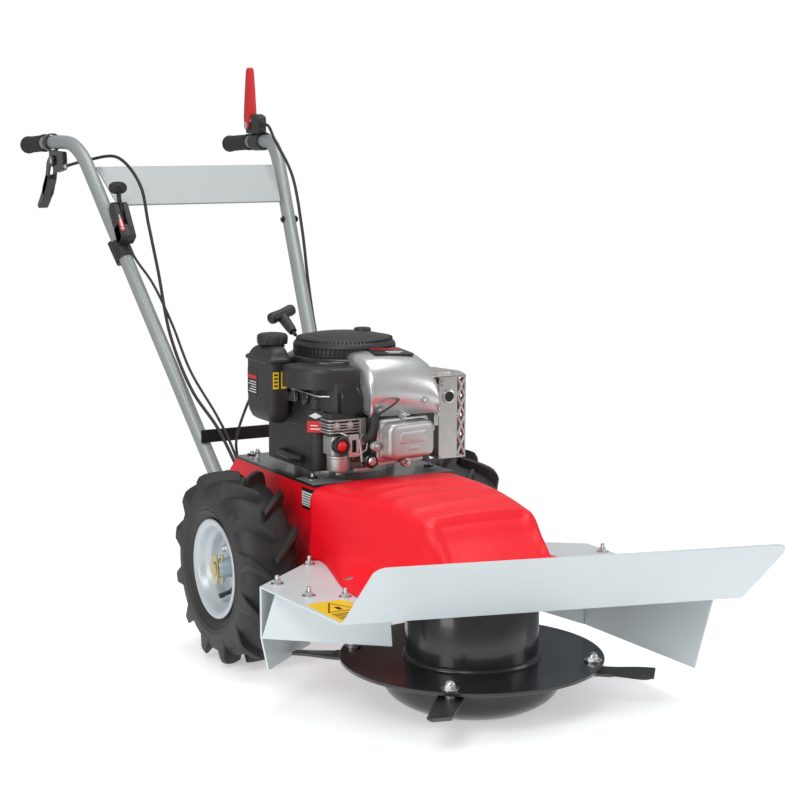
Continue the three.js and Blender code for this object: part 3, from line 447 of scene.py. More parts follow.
def soften(piece, width, segments=2):
    edge = piece.modifiers.new("edge", "BEVEL")
    edge.width = width * 0.001
    edge.segments = segments
    edge.limit_method = "ANGLE"
    edge.angle_limit = math.radians(35)
    edge.harden_normals = True


def dress(name, material, bevel=0.0):
    """Gives a CAD node its material and softened edges."""
    piece = nodes[name]
    piece.data.materials.clear()
    piece.data.materials.append(material)
    if bevel:
        soften(piece, bevel)


# ------------------------------------------------------------------ chassis
def chassis():
    for name in ("right_side_plate", "left_side_plate", "neck_plate"):
        dress(name, RED, 0.9)
    dress("engine_deck_plate", BLACK, 0.8)
    for name in ("blade_belt", "drive_belt"):
        dress(name, RUBBER, 0.5)
    for name in ("spindle_pulley", "gearbox_input_pulley", "blade_tension_arm", "drive_tension_arm",
                 "crankshaft"):
        dress(name, ZINC, 0.5)
    for name in ("gearbox_housing", "spindle_housing", "flywheel"):
        dress(name, CAST, 1.5)
    for name in ("right_axle_shaft", "left_axle_shaft"):
        dress(name, YELLOW_ZINC, 0.8)
    dress("lower_crossbar", BLACK, 0.8)


chassis()


def deck_details():
    """Grey corner plates on the engine deck, its bolts, and the blank data plate on the right side."""
    _, high = span("engine_deck_plate")
    plate_top = high.z - 6
    plates = Shape()
    for side in (-1, 1):
        rear = [(side * 139, 622), (side * 139, 470), (side * 112, 462), (side * 92, 500), (side * 60, 560),
                (side * 60, 622)]
        front = [(side * 139, 300), (side * 139, 372), (side * 104, 372), (side * 84, 336), (side * 60, 300)]
        for outline in (rear, front):
            plates.prism(round_corners(outline, 6), (plate_top - 2, plate_top + 0.35))
    finish(plates, "deck_corner_plates", DECK_GREY, bevel=0.3)
    bolts = Shape()
    for x, y in ((118, 346), (-118, 346), (118, 596), (-118, 596), (-124, 560), (-100, 610)):
        bolts.hexagon((x, y, plate_top), (0, 0, 1), 6.5, 5)
        bolts.stud((x, y, plate_top + 6), (0, 0, 1), 3.6, 5)
    finish(bolts, "deck_bolts", ZINC, bevel=0.25)
    side_low, _ = span("right_side_plate")
    tag("data_plate_base", DECAL_BLACK, (side_low.x - 0.35, 289, 262), (side_low.x + 0.2, 343, 300))
    tag("data_plate_field", DECAL_WHITE, (side_low.x - 0.6, 290.5, 268), (side_low.x - 0.2, 341.5, 293))
    lines = Shape()
    for row in range(5):
        z = 270 + row * 4.6
        lines.block((side_low.x - 0.8, 300 + 5 * (row % 2), z), (side_low.x - 0.5, 338, z + 1.7))
    finish(lines, "data_plate_rules", DECAL_BLACK)


deck_details()


# ------------------------------------------------------------------ hood
HOOD_STATIONS = [
    (290, [(152, 188.3), (152, 196), (151, 240), (149, 290), (138, 305), (80, 311), (0, 313)]),
    (225, [(158, 188.3), (155, 196), (149, 235), (145, 285), (134, 306), (76, 315), (0, 317)]),
    (150, [(180, 188.3), (175, 196), (146, 229), (134, 285), (123, 309), (70, 319), (0, 321)]),
    (70, [(205, 188.3), (200, 195), (142, 222), (122, 281), (112, 307), (64, 316), (0, 319)]),
    (10, [(214, 188.3), (208, 194), (138, 218), (116, 273), (106, 300), (61, 308), (0, 310)]),
    (-20, [(215, 188.3), (208, 194), (132, 214), (111, 266), (103, 294), (60, 300), (0, 302)]),
    (-50, [(206, 188.3), (199, 194), (125, 209), (106, 245), (99, 268), (57, 273), (0, 275)]),
    (-85, [(184, 188.3), (177, 193), (116, 204), (100, 226), (93, 239), (54, 244), (0, 246)]),
    (-115, [(156, 188.3), (150, 192), (106, 198), (93, 208), (86, 216), (50, 219), (0, 221)]),
    (-140, [(120, 188.3), (116, 191), (98, 193), (86, 196), (80, 199), (45, 201), (0, 202)]),
]


def step(value, low, high):
    """A smooth rise from 0 at low to 1 at high."""
    t = min(max((value - low) / (high - low), 0), 1)
    return t * t * (3 - 2 * t)


def hood_relief(point):
    """How far the moulded ribs and the front panel move the hood's skin, in millimetres along Z."""
    x, y, z = point
    inside = step(112 - abs(x) - max(0, 90 - y) * 0.10, 0, 22) * step(z, 262, 285)
    ribs = sum(math.exp(-(((y + abs(x) * 0.06 - centre) / 11) ** 2)) for centre in (40, 92, 146, 198))
    rise = 4.2 * inside * ribs * step(y, -6, 30)
    across = step(84 - abs(x) - (y + 20) * 0.12, 0, 4)
    panel = across * step(y, -96, -90) * (1 - step(y, -26, -20))
    brow = step(90 - abs(x), 0, 5) * step(y, -19, -15) * (1 - step(y, -3, 4))
    side = math.exp(-(((abs(x) - 95 + (y + 50) * 0.10) / 3.2) ** 2)) * step(y, -92,
                                                                            -82) * (1 - step(y, -30, -20))
    return rise - 4.5 * panel + 3.6 * brow + 2.6 * side


def hood():
    """The moulded hood: a skin through the CAD stations, with ribs, a brow and a recessed front panel."""
    columns = [smooth_path([(x, y, z) for x, z in points], 7) for y, points in HOOD_STATIONS]
    rows = []
    for strand in zip(*columns):
        rows.append(smooth_path(strand, 12))
    sections = list(zip(*rows))
    skin = []
    for section in sections:
        raised = [Vector((p.x, p.y, p.z + hood_relief(p))) for p in section]
        left = [Vector((-p.x, p.y, p.z)) for p in reversed(raised[:-1])]
        skin.append([*raised, *left])
    shape = Shape()
    shape.grid(skin, around=False)
    finish(shape, "hood_skin", HOOD_RED, ["front_hood"], smooth=60, wall=3.5)
    screws = Shape()
    for side in (-1, 1):
        for x, y, z in ((190, 74, 197.0), (200, -30, 195.5)):
            screws.revolve([(0, 0), (9, 0), (9, 1.2), (6, 2.6), (0, 3.0)], (side * x, y, z),
                           (side * 0.5, 0, 0.86), 24)
    finish(screws, "hood_screws", ZINC, bevel=0.2)


hood()


# ------------------------------------------------------------------ guards
def guards():
    for name in ("front_deflector", "right_side_guard", "left_side_guard"):
        dress(name, GUARD, 0.6)
    _, high = span("right_side_guard")
    bolts = Shape()
    for x, y in ((-181, 234), (-287, 139), (-276, 46), (-228, 13), (312, 73)):
        bolts.hexagon((x, y, high.z), (0, 0, 1), 7, 6)
        bolts.stud((x, y, high.z + 6), (0, 0, 1), 4, 9)
    finish(bolts, "guard_bolts", ZINC, bevel=0.25)
    label = Shape()
    place = Matrix.Translation((-270, -58, high.z))
    label.prism(round_corners(rectangle((-34, -58), (34, 58)), 4), (-0.2, 0.4), place)
    finish(label, "caution_plate", DECAL_YELLOW)
    marks = Shape()
    triangle = ((-27, -20), (27, -20), (0, 32))
    marks.grid([[place @ Vector((x * k, 16 + y * k, 0.6)) for x, y in triangle] for k in (1.0, 0.84)])
    marks.prism(rectangle((-4, 6), (4, 22)), (0.3, 0.6), place)
    for row in range(4):
        marks.block((-26, -18 - 9 * row, 0.3), (26 - 9 * (row % 2), -14 - 9 * row, 0.6), place)
    finish(marks, "caution_plate_marks", DECAL_BLACK)


guards()


# ------------------------------------------------------------------ rotor
BLADE_BOLT_RADIUS = 200
BLADE_TIP_RADIUS = 300
BLADE_HEIGHT = 50
FIRST_BLADE_TURN = -41  # degrees from straight ahead
DRUM_RADIUS = 110


def rotor():
    """The cutter disc with its blade bolts, the drum with its weld bead, and the skid dish."""
    _, disc_high = span("cutter_disc")
    flange_radius = disc_high.x
    plate = Shape()
    bottom, top = 60.7, 66.7
    plate.revolve(
        [(12.8, 56.3), (34, 56.3), (34, bottom), (flange_radius - 0.8, bottom), (flange_radius, bottom + 0.8),
         (flange_radius, top - 0.8), (flange_radius - 0.8, top), (36, top), (34, 84), (12.8, 84)],
        segments=160, closed=True)
    finish(plate, "cutter_plate", BLACK, ["cutter_disc"], body="cutter")
    bolts = Shape()
    for index in range(4):
        turn = math.radians(FIRST_BLADE_TURN + 90 * index)
        x, y = BLADE_BOLT_RADIUS * math.sin(turn), -BLADE_BOLT_RADIUS * math.cos(turn)
        bolts.revolve([(0, 41), (10, 41), (11, 42), (11, 45), (8, 46), (8, 64), (0, 64)], (x, y, 0),
                      segments=32)
        bolts.revolve(rectangle((0, top), (13, top + 1.6)), (x, y, 0), segments=32)
        bolts.hexagon((x, y, top + 1.4), (0, 0, 1), 9.5, 6)
        bolts.revolve([(8, 74), (7.6, 77), (5.5, 80), (2.5, 81.6), (0, 82)], (x, y, 0), segments=32)
    finish(bolts, "blade_bolts", ZINC, body="cutter", bevel=0.2)
    drum = Shape()
    _, drum_high = span("cutter_drum")
    foot = top + 0.3
    drum.revolve(
        [(106, foot), (116, foot), (115.4, foot + 2.2), (112.5, foot + 5), (DRUM_RADIUS, foot + 6.5),
         (DRUM_RADIUS, drum_high.z - 1), (109.4, drum_high.z), (106, drum_high.z)],
        segments=128, closed=True)
    finish(drum, "rotor_drum", BLACK, ["cutter_drum"], body="cutter")
    bead = Shape()
    beads = 150
    path = []
    for i in range(beads * 2 + 1):
        turn = math.pi * i / beads
        radius = DRUM_RADIUS + 3 + 0.5 * (i % 2)
        path.append((radius * math.cos(turn), radius * math.sin(turn), foot + 2.3 + 0.5 * (i % 2)))
    bead.tube(path, 2.2, 8, caps=(False, False))
    finish(bead, "drum_weld_bead", BLACK, body="cutter")
    dish = Shape()
    dish.revolve(
        [(13, 24), (38, 24), (40, 22), (44, -9), (47, -11), (92, -11), (102, -9.5), (111, -3.6), (122, 2.5),
         (132, 11), (140, 21), (145, 31), (147.5, 43), (149.5, 44.4), (151.6, 43.6), (152, 42), (150.5, 31),
         (146.5, 20), (141, 11), (134, 3.6), (125, -3), (114, -9), (106, -12.6), (96, -14.6), (88, -15),
         (0, -15)],
        segments=144)
    dish.revolve([(0, 8), (13, 8), (13, 24)], segments=144)
    finish(dish, "skid_shell", BLACK, ["skid_dish"], body="skid", smooth=30)
    dress("spindle_shaft", ZINC, 0.6)


rotor()


def blade(index):
    """A swinging blade whose outer half is twisted and ground to an edge."""
    turn = Matrix.Rotation(math.radians(FIRST_BLADE_TURN + 90 * index), 4, "Z")
    root = BLADE_BOLT_RADIUS - 20
    rings = []
    stations = 26
    for i in range(stations + 1):
        radius = root + (BLADE_TIP_RADIUS - root) * i / stations
        round_off = step(radius, root, root + 10)
        taper = 1 - 0.30 * step(radius, 286, 300)
        half = 21 * (0.72 + 0.28 * round_off)
        twist = math.radians(9) * step(radius, 225, 285)
        edge = -half * taper
        section = [(edge, -0.6), (edge, 0.6), (edge + 6, 3), (half - 1, 3), (half, 2), (half, -2),
                   (half - 1, -3), (edge + 6, -3)]
        if radius < 232:
            section[0], section[1] = (-half, -2), (-half, 2)
            section[2], section[7] = (-half + 1, 3), (-half + 1, -3)
        ring = []
        for x, z in section:
            rise = min(max(z * math.cos(twist) + x * math.sin(twist), -7), 7)
            ring.append(turn @ Vector((x * math.cos(twist), -radius, BLADE_HEIGHT + rise)))
        rings.append(ring)
    shape = Shape()
    shape.loft(rings)
    finish(shape, f"swing_blade_{index + 1}_steel", BLADE, [f"blade_{index + 1}"],
           body=f"swing_blade_{index + 1}", smooth=28)


for blade_index in range(4):
    blade(blade_index)


# ------------------------------------------------------------------ wheels
LUGS = 12


def tyre(side_name, side):
    """A farm tyre: a smooth carcass with bead lines, and V lugs from the middle over the shoulder."""
    low, high = span(f"{side_name}_tyre")
    centre = (low + high) / 2
    radius = (high.y - low.y) / 2
    axis = (side, 0, 0)
    origin = tuple(centre)
    carcass = Shape()
    outer = [(79, 36), (79, 40.5), (81, 41.6), (90, 41.6), (96, 46), (103, 51.5), (112, 54), (124, 54.6),
             (138, 52.6), (146, 47), (152, 38), (156, 24), (157.4, 0)]
    inner = [(140, 0), (136, 30), (130, 42), (110, 46), (96, 42), (84, 37)]
    profile = [*outer, *[(r, -x) for r, x in reversed(outer[:-1])], *[(r, -x) for r, x in reversed(inner)],
               *inner[1:]]
    carcass.revolve(profile, origin, axis, 144, closed=True)
    for offset, ring_radius in ((52.6, 106), (53.6, 114.5)):
        for flank in (-1, 1):
            ring = [(ring_radius - 1, flank * (offset - 0.6)), (ring_radius, flank * (offset + 1.2)),
                    (ring_radius + 1, flank * (offset - 0.2))]
            carcass.revolve(ring, origin, axis, 144, closed=True)
    finish(carcass, f"{side_name}_tyre_carcass", TYRE, [f"{side_name}_tyre"], body=f"{side_name}_wheel",
           smooth=50)
    place = Matrix.Translation(origin) @ Matrix.Rotation(math.radians(90), 4, "Y")
    lugs = Shape()
    for index in range(2 * LUGS):
        flank = 1 if index % 2 else -1
        tread_lug(lugs, place, math.pi * index / LUGS, flank, side, radius)
    finish(lugs, f"{side_name}_tyre_lugs", TYRE, body=f"{side_name}_wheel", bevel=1.6, smooth=50)


def tread_lug(shape, place, start, flank, side, radius):
    """One V lug as a bar of blocks from the tyre's middle out over its shoulder."""
    stations = [  # distance from the middle, lag in radians, top radius, foot radius, half width in radians
        (-3, -0.01, radius, 152, 0.046), (8, 0.05, radius, 152, 0.050), (20, 0.12, radius - 0.6, 150, 0.056),
        (32, 0.19, radius - 1.6, 148, 0.062), (42, 0.25, radius - 3, 144, 0.070),
        (50, 0.29, radius - 6.5, 138, 0.080),
        (54.4, 0.31, radius - 15, 128, 0.086),
    ]
    rings = []
    for across, lag, top, foot, half in stations:
        corners = []
        for share, r in ((-1.7, foot), (-0.62, top), (0.62, top), (1.7, foot)):
            angle = start + lag + share * half
            corners.append(place @ Vector((r * math.cos(angle), side * r * math.sin(angle), flank * across)))
        rings.append(corners)
    shape.loft(rings)


def rim(side_name, side):
    """A pressed steel rim with a deep well, a domed centre with bolts, a hub tube and its latch."""
    low, high = span(f"{side_name}_tyre")
    centre = (low + high) / 2
    origin, axis = tuple(centre), (side, 0, 0)
    body = f"{side_name}_wheel"
    shape = Shape()
    shape.revolve(
        [(77, 36), (77, 41.7), (85, 42.6), (88.5, 44), (89.3, 46), (88, 47.6), (84, 47.4), (78, 45.4),
         (74.5, 42), (72, 33), (70, 30), (64, 26), (62.5, 22), (62, 12), (60.5, 8.5), (56, 6.8), (48, 8.6),
         (40, 12.5), (30, 14.5), (18, 15), (18, 9), (40, 6), (60, 0), (62, -24), (70, -30), (74.5, -42),
         (84, -47.4), (89.3, -46), (88.5, -44), (77, -41.7), (77, -36), (66, -24), (66, 24)],
        origin, axis, 128, closed=True)
    finish(shape, f"{side_name}_rim_shell", RIM, [f"{side_name}_rim"], body=body, smooth=40)
    hub = Shape()
    hub.revolve([(12.8, 42), (16.6, 42), (17.4, 41), (17.4, -39), (16, -40), (12.8, -40)], origin, axis, 64,
                closed=True)
    finish(hub, f"{side_name}_hub_tube", HUB_BLUE, body=body, smooth=40)
    bolts = Shape()
    for index in range(4):
        turn = math.pi / 4 + math.pi / 2 * index
        y, z = 38 * math.cos(turn), 38 * math.sin(turn)
        bolts.hexagon((centre.x + side * 12.2, centre.y + y, centre.z + z), axis, 6, 5)
    finish(bolts, f"{side_name}_rim_bolts", ZINC, body=body, bevel=0.2)
    latch = Shape()
    corners = [(-26, -9), (-8, -15), (8, -14), (26, -7), (26, 6), (10, 14), (-10, 12), (-26, 5)]
    outward = Matrix.Rotation(math.radians(90) * side, 4, "Y")
    place = Matrix.Translation((centre.x + side * 42.6, centre.y, centre.z)) @ outward
    latch.prism(round_corners(corners, 4), (0.0, 2.6), place)
    latch.tube([(centre.x + side * 34, centre.y - 8, centre.z + rise) for rise in (-26, 26)], 3)
    finish(latch, f"{side_name}_hub_latch", YELLOW_ZINC, body=body, bevel=0.4)
    valve = Shape()
    spot = (centre.x + side * 10, centre.y - 10, centre.z - 40)
    stem = [(0, 0), (5.2, 0), (5.4, 6), (4.0, 9), (3.6, 22), (4.4, 22.5), (4.4, 30), (3.6, 31), (0, 31)]
    valve.revolve(stem, spot, (side * 0.92, 0.1, -0.30), 24)
    finish(valve, f"{side_name}_valve_stem", RUBBER, body=body)


for name, sign in (("right", -1), ("left", 1)):
    tyre(name, sign)
    rim(name, sign)


# ------------------------------------------------------------------ handlebar
TUBE_LINE = [
    (112.8, 676, 160.3), (130.3, 757.9, 271.3), (205.6, 1110, 748.3), (214, 1150, 803), (222, 1190, 852),
    (229, 1232, 876), (236, 1290, 880.5), (241, 1345, 878.4), (241, 1410, 874.9), (241, 1475, 871.4),
]
CABLES = {
    "clutch": (3.2, [
        (-240, 1240, 832), (-226, 1222, 838), (-200, 1204, 846), (-178, 1099, 851), (-164, 1018, 797),
        (-160, 990, 724), (-156, 952, 631), (-150, 909, 508), (-140, 826, 406), (-120, 748, 340),
        (-106, 686, 268)]),
    "blade": (3.2, [
        (226, 1267, 919), (224, 1236, 914), (212, 1180, 886), (215, 1100, 811), (210, 1043, 699),
        (200, 996, 595), (185, 934, 500), (165, 820, 350), (150, 745, 312), (122, 705, 280), (108, 684, 258)]),
    "throttle": (2.6, [
        (-192, 1016, 678), (-184, 1000, 652), (-160, 974, 606), (-140, 926, 530), (-130, 856, 440),
        (-112, 772, 362), (-102, 736, 318), (-96, 690, 258)]),
}


def handlebar():
    for side_name, side in (("right", -1), ("left", 1)):
        line = [(side * x, y, z) for x, y, z in TUBE_LINE]
        shape = Shape()
        shape.tube(smooth_path(line, 14), 14.2, 40)
        finish(shape, f"{side_name}_bar", TUBE, [f"{side_name}_handle_tube"], body="handlebar")
        bolt = Shape()
        bolt.hexagon((side * 140.3, 690, 179.3), (side, 0, 0), 9, 6)
        bolt.stud((side * 146, 690, 179.3), (side, 0, 0), 5, 5)
        finish(bolt, f"{side_name}_bar_bolt", ZINC, body="handlebar", bevel=0.25)
    dress("handle_cross_plate", TUBE, 0.6)
    fixings = Shape()
    for x, way in ((186.5, -1), (215.5, 1)):
        fixings.hexagon((x, 1086, 718), (way, 0, 0), 5, 4)
    finish(fixings, "tube_fixings", BLACK, body="handlebar", bevel=0.2)
    grips()
    for label, (radius, route) in CABLES.items():
        cable = Shape()
        cable.tube(smooth_path(route, 12), radius, 16)
        finish(cable, f"{label}_cable_sheath", RUBBER, [f"{label}_cable"], body="handlebar")


def grips():
    """Rubber grips with fine rings and a collar at each end."""
    start, end = Vector((241, 1368, 877.2)), Vector((241, 1484, 870.9))
    length = (end - start).length
    profile = [(15.2, 0), (18.6, 0), (19, 1), (19, 6), (18.2, 7.5)]
    rings = 28
    for i in range(rings):
        at = 9 + (length - 22) * i / (rings - 1)
        profile.extend([(17.6, at), (16.9, at + 1.0), (17.6, at + 2.0)])
    profile.extend([(18.2, length - 9), (19, length - 7.5), (19, length - 3), (17.5, length - 0.6),
                    (13, length), (0, length)])
    for side_name, side in (("right", -1), ("left", 1)):
        shape = Shape()
        axis = Vector((side * (end.x - start.x), end.y - start.y, end.z - start.z))
        shape.revolve(profile, (side * start.x, start.y, start.z), axis, 48)
        finish(shape, f"{side_name}_grip_rubber", RUBBER, [f"{side_name}_grip"], body="handlebar", smooth=25)


handlebar()


def side_plate(x):
    """A placing matrix for outlines in (y, z), with their thickness counted along X from x."""
    return Matrix(((0, 0, 1, x), (1, 0, 0, 0), (0, 1, 0, 0), (0, 0, 0, 1)))


def smooth_outline(corners, steps=4):
    """A closed curve through the corners of a flat outline."""
    looped = [(*p, 0) for p in (*corners[-2:], *corners, *corners[:2])]
    curve = smooth_path(looped, steps)
    return [(p.x, p.y) for p in curve[2 * steps:(2 + len(corners)) * steps]]


CLUTCH_X = -240
CLUTCH_HUB = [(1299, 850), (1318, 851), (1338, 838), (1347, 812), (1372, 778), (1360, 764), (1334, 800),
              (1318, 829), (1299, 834)]
CLUTCH_BLADE = [(1330, 806), (1345, 811), (1358, 794), (1374, 776), (1390, 759), (1405, 743), (1398, 737),
                (1380, 748), (1362, 764), (1346, 782)]


def clutch_control():
    """The hanging clutch lever: a clamp and bracket on the right bar and a curved pressed lever."""
    mount = Shape()
    mount.revolve([(16.6, 0), (19.2, 0.6), (19.2, 16.4), (16.6, 17)], (-238.9, 1322, 879.3),
                  (-1.6, 18, -0.7), 40, closed=True)
    bracket = round_corners([(1250, 861), (1338, 863), (1334, 838), (1296, 816), (1248, 824)], 7)
    mount.prism(bracket, (-5, 5), side_plate(CLUTCH_X))
    finish(mount, "clutch_bracket", BLACK, ["clutch_lever_mount"], body="handlebar", bevel=0.8)
    pin = Shape()
    pin.hexagon((-250.2, 1308, 842), (-1, 0, 0), 5, 1.6)
    pin.hexagon((-229.8, 1308, 842), (1, 0, 0), 5, 1.6)
    pin.revolve([(0, 0), (5, 0), (5, 9), (4, 10), (4, 15), (0, 15)], (-240, 1252, 830), (0.1, -1, 0.2), 20)
    finish(pin, "clutch_pivot_bolt", ZINC, body="handlebar", bevel=0.2)
    lever = Shape()
    hub = smooth_outline(CLUTCH_HUB)
    lever.prism(hub, (-10, -5.6), side_plate(CLUTCH_X))
    lever.prism(hub, (5.6, 10), side_plate(CLUTCH_X))
    lever.prism(smooth_outline(CLUTCH_BLADE), (-10, 10), side_plate(CLUTCH_X))
    finish(lever, "clutch_lever_pressing", BLACK, ["clutch_lever"], body="clutch_control", bevel=1.2,
           smooth=50)


clutch_control()


def blade_control():
    """The tall red lever and its black clamp on the left bar, with the cable stop in front."""
    x, y, z = 225, 1332, 914
    mount = Shape()
    mount.revolve([(16.6, 0), (20.6, 0.8), (20.6, 55.2), (16.6, 56)], (236, 1283, 880.4), (5, 57, -1.8), 40,
                  closed=True)
    cheek = round_corners([(y - 26, z - 17), (y + 14, z - 17), (y + 12, z + 9), (y - 16, z + 9)], 7)
    mount.prism(cheek, (-5, 5), side_plate(x))
    stop = round_corners([(y - 60, z - 17), (y - 22, z - 17), (y - 22, z + 16), (y - 34, z + 27),
                          (y - 60, z + 20)], 7)
    mount.prism(stop, (-8, 11), side_plate(x))
    mount.revolve([(0, 0), (7, 0), (7, 8), (4.6, 9), (4.6, 14), (0, 14)], (226, y - 55, z + 5),
                  (0, -1, 0.06), 24)
    mount.hexagon((x + 13, y - 28, z - 2), (1, 0, 0), 5, 4)
    finish(mount, "blade_lever_clamp", PLASTIC, ["blade_lever_mount"], body="handlebar", bevel=1.0)
    pin = Shape()
    pin.hexagon((x + 10.4, y, z), (1, 0, 0), 5.5, 2.2)
    pin.hexagon((x - 10.4, y, z), (-1, 0, 0), 5.5, 2.2)
    finish(pin, "blade_lever_bolt", ZINC, body="handlebar", bevel=0.2)
    lever = Shape()
    rings = []
    stations = ((24.5, 15, 10), (40, 14.4, 9.6), (80, 12, 8.4), (118, 9.6, 7), (125, 8.6, 6), (128, 6, 4))
    for rise, half_y, half_x in stations:
        outline = round_corners(rectangle((-half_x, -half_y), (half_x, half_y)), 3.5, 5)
        rings.append([Vector((x + a, y + b, z + rise)) for a, b in outline])
    lever.loft(rings)
    cheek = round_corners([(y - 9, z - 8), (y + 9, z - 8), (y + 15, z + 27), (y - 15, z + 27)], 8)
    lever.prism(cheek, (-10, -5.8), side_plate(x))
    lever.prism(cheek, (5.8, 10), side_plate(x))
    finish(lever, "blade_lever_handle", RED_PLASTIC, ["blade_lever"], body="blade_control", bevel=0.6,
           smooth=50)


blade_control()


def throttle_control():
    """The throttle's slotted housing on the front of the tube, a blank scale plate, and the ribbed knob."""
    middle = -192
    body = Shape()
    outline = round_corners([(1012, 696), (1036, 678), (1081, 741), (1084, 752), (1072, 764), (1058, 762)], 9)
    body.prism(outline, (-16, -4.2), side_plate(middle))
    body.prism(outline, (4.2, 16), side_plate(middle))
    low = round_corners([(1012, 696), (1036, 678), (1058, 708), (1034, 724)], 7)
    body.prism(low, (-16, 16), side_plate(middle))
    start = Vector((-190.2, 1038, 650.8))
    along = Vector((-0.126, 0.589, 0.798))
    body.revolve([(16.2, 0), (19.2, 0.8), (19.2, 39.2), (16.2, 40)], start, along, 40, closed=True)
    body.block((-202, 1034, 682), (-182, 1052, 702))
    finish(body, "throttle_body", PLASTIC, ["throttle_housing"], body="handlebar", bevel=1.4)
    back = Shape()
    back.tube([start + Vector((-8, 12, -6)) - along * 6, start + Vector((-9, 13, -6)) + along * 46], 9, 20)
    finish(back, "throttle_back_half", PLASTIC, body="handlebar", bevel=1)
    plate_face = Matrix(((1, 0, 0, middle), (0, 0.589, -0.8, 1019), (0, 0.8, 0.589, 705), (0, 0, 0, 1)))
    scale = Shape()
    scale.prism(round_corners(rectangle((-14, 4), (-5, 58)), 3), (-0.4, 1.4), plate_face)
    finish(scale, "throttle_scale_plate", DECAL_RED, body="handlebar")
    marks = Shape()
    marks.prism([(-11.5, 14), (-7.5, 14), (-9, 46), (-10, 46)], (1.2, 1.7), plate_face)
    for rise in (8, 49):
        marks.block((-12, rise, 1.2), (-7, rise + 3, 1.7), plate_face)
    finish(marks, "throttle_scale_marks", DECAL_WHITE, body="handlebar")
    knob = Shape()
    rings = []
    for i in range(37):
        at = -18.4 + 36.8 * i / 36
        swell = math.sqrt(max(1 - abs(at / 19.4) ** 3, 0.02))
        radius = 12.8 * swell - 1.3 * (i % 4 in (0, 1))
        turns = [math.pi * k / 18 for k in range(36)]
        circle = [(radius * math.cos(t), radius * math.sin(t)) for t in turns]
        rings.append([Vector((middle - 0.5 + at, 1071 + a, 792 + b)) for a, b in circle])
    knob.loft(rings)
    knob.prism(round_corners([(1042, 715), (1058, 715), (1077, 786), (1064, 788)], 5), (-2.4, 2.4),
               side_plate(middle))
    finish(knob, "throttle_knob", PLASTIC, ["throttle_lever"], body="throttle_control", smooth=30)


throttle_control()


# ------------------------------------------------------------------ engine
CRANK_Y = 450
TURN = Matrix.Translation((0, CRANK_Y, 0)) @ Matrix.Rotation(math.radians(9), 4, "Z")


def plate(shape, outline, low, high, edge, place=None):
    """A flat outline given thickness with a rounded upper rim; edge is the rim's radius."""
    place = place or Matrix.Identity(4)
    middle = Vector([sum(p[i] for p in outline) / len(outline) for i in (0, 1)])
    reach = max((Vector(p) - middle).length for p in outline)
    rings = [[place @ Vector((*p, low)) for p in outline]]
    for inset, drop in ((0, 1), (0.13, 0.5), (0.5, 0.13), (1, 0)):
        share = 1 - inset * edge / reach
        z = high - drop * edge
        rings.append([place @ Vector((*(middle + (Vector(p) - middle) * share), z)) for p in outline])
    shape.loft(rings)


def cowl():
    """The black cowl round the flywheel, its shoulder over the air filter and the glossy duct cover."""
    ring = Shape()
    ring.revolve(
        [(92, 458), (104, 458), (106, 460), (106, 478), (104.5, 480), (104.5, 484), (106, 486), (106, 509),
         (104, 513), (98, 516.3), (91.5, 516.6), (91.5, 470)],
        (0, CRANK_Y, 0), segments=128, closed=True)
    finish(ring, "cowl_ring", GLOSSY, ["engine_cowl"])
    shoulder = Shape()
    corners = [(-96, 522), (-96, 436), (-118, 417), (-146, 414), (-150, 366), (-128, 330), (-100, 314),
               (-46, 306), (-42, 372), (-84, 400), (-84, 522)]
    outline = round_corners(corners, [6, 8, 6, 14, 20, 20, 16, 8, 6, 10, 6])
    plate(shoulder, outline, 470, 507, 11)
    slope = []
    stations = ((366, (-106, 446), (-42, 507)), (340, (-104, 432), (-42, 506)),
                (320, (-98, 430), (-42, 500)), (309, (-88, 430), (-44, 476)))
    for y, low, high in stations:
        slope.append([Vector((x, y, z)) for x, z in rectangle(low, high)])
    shoulder.loft(slope)
    finish(shoulder, "cowl_shoulder", PLASTIC, bevel=3, smooth=50)
    duct = Shape()
    rings = []
    for y, z_high in ((372, 506), (345, 500), (322, 484), (308, 462)):
        corner = round_corners([(-84, 428), (-43, 428), (-43, z_high), (-84, z_high - 3)], 9)
        rings.append([Vector((x, y - 8, z)) for x, z in corner])
    duct.loft(rings)
    finish(duct, "duct_cover", GLOSSY, bevel=2.5, smooth=60)


cowl()


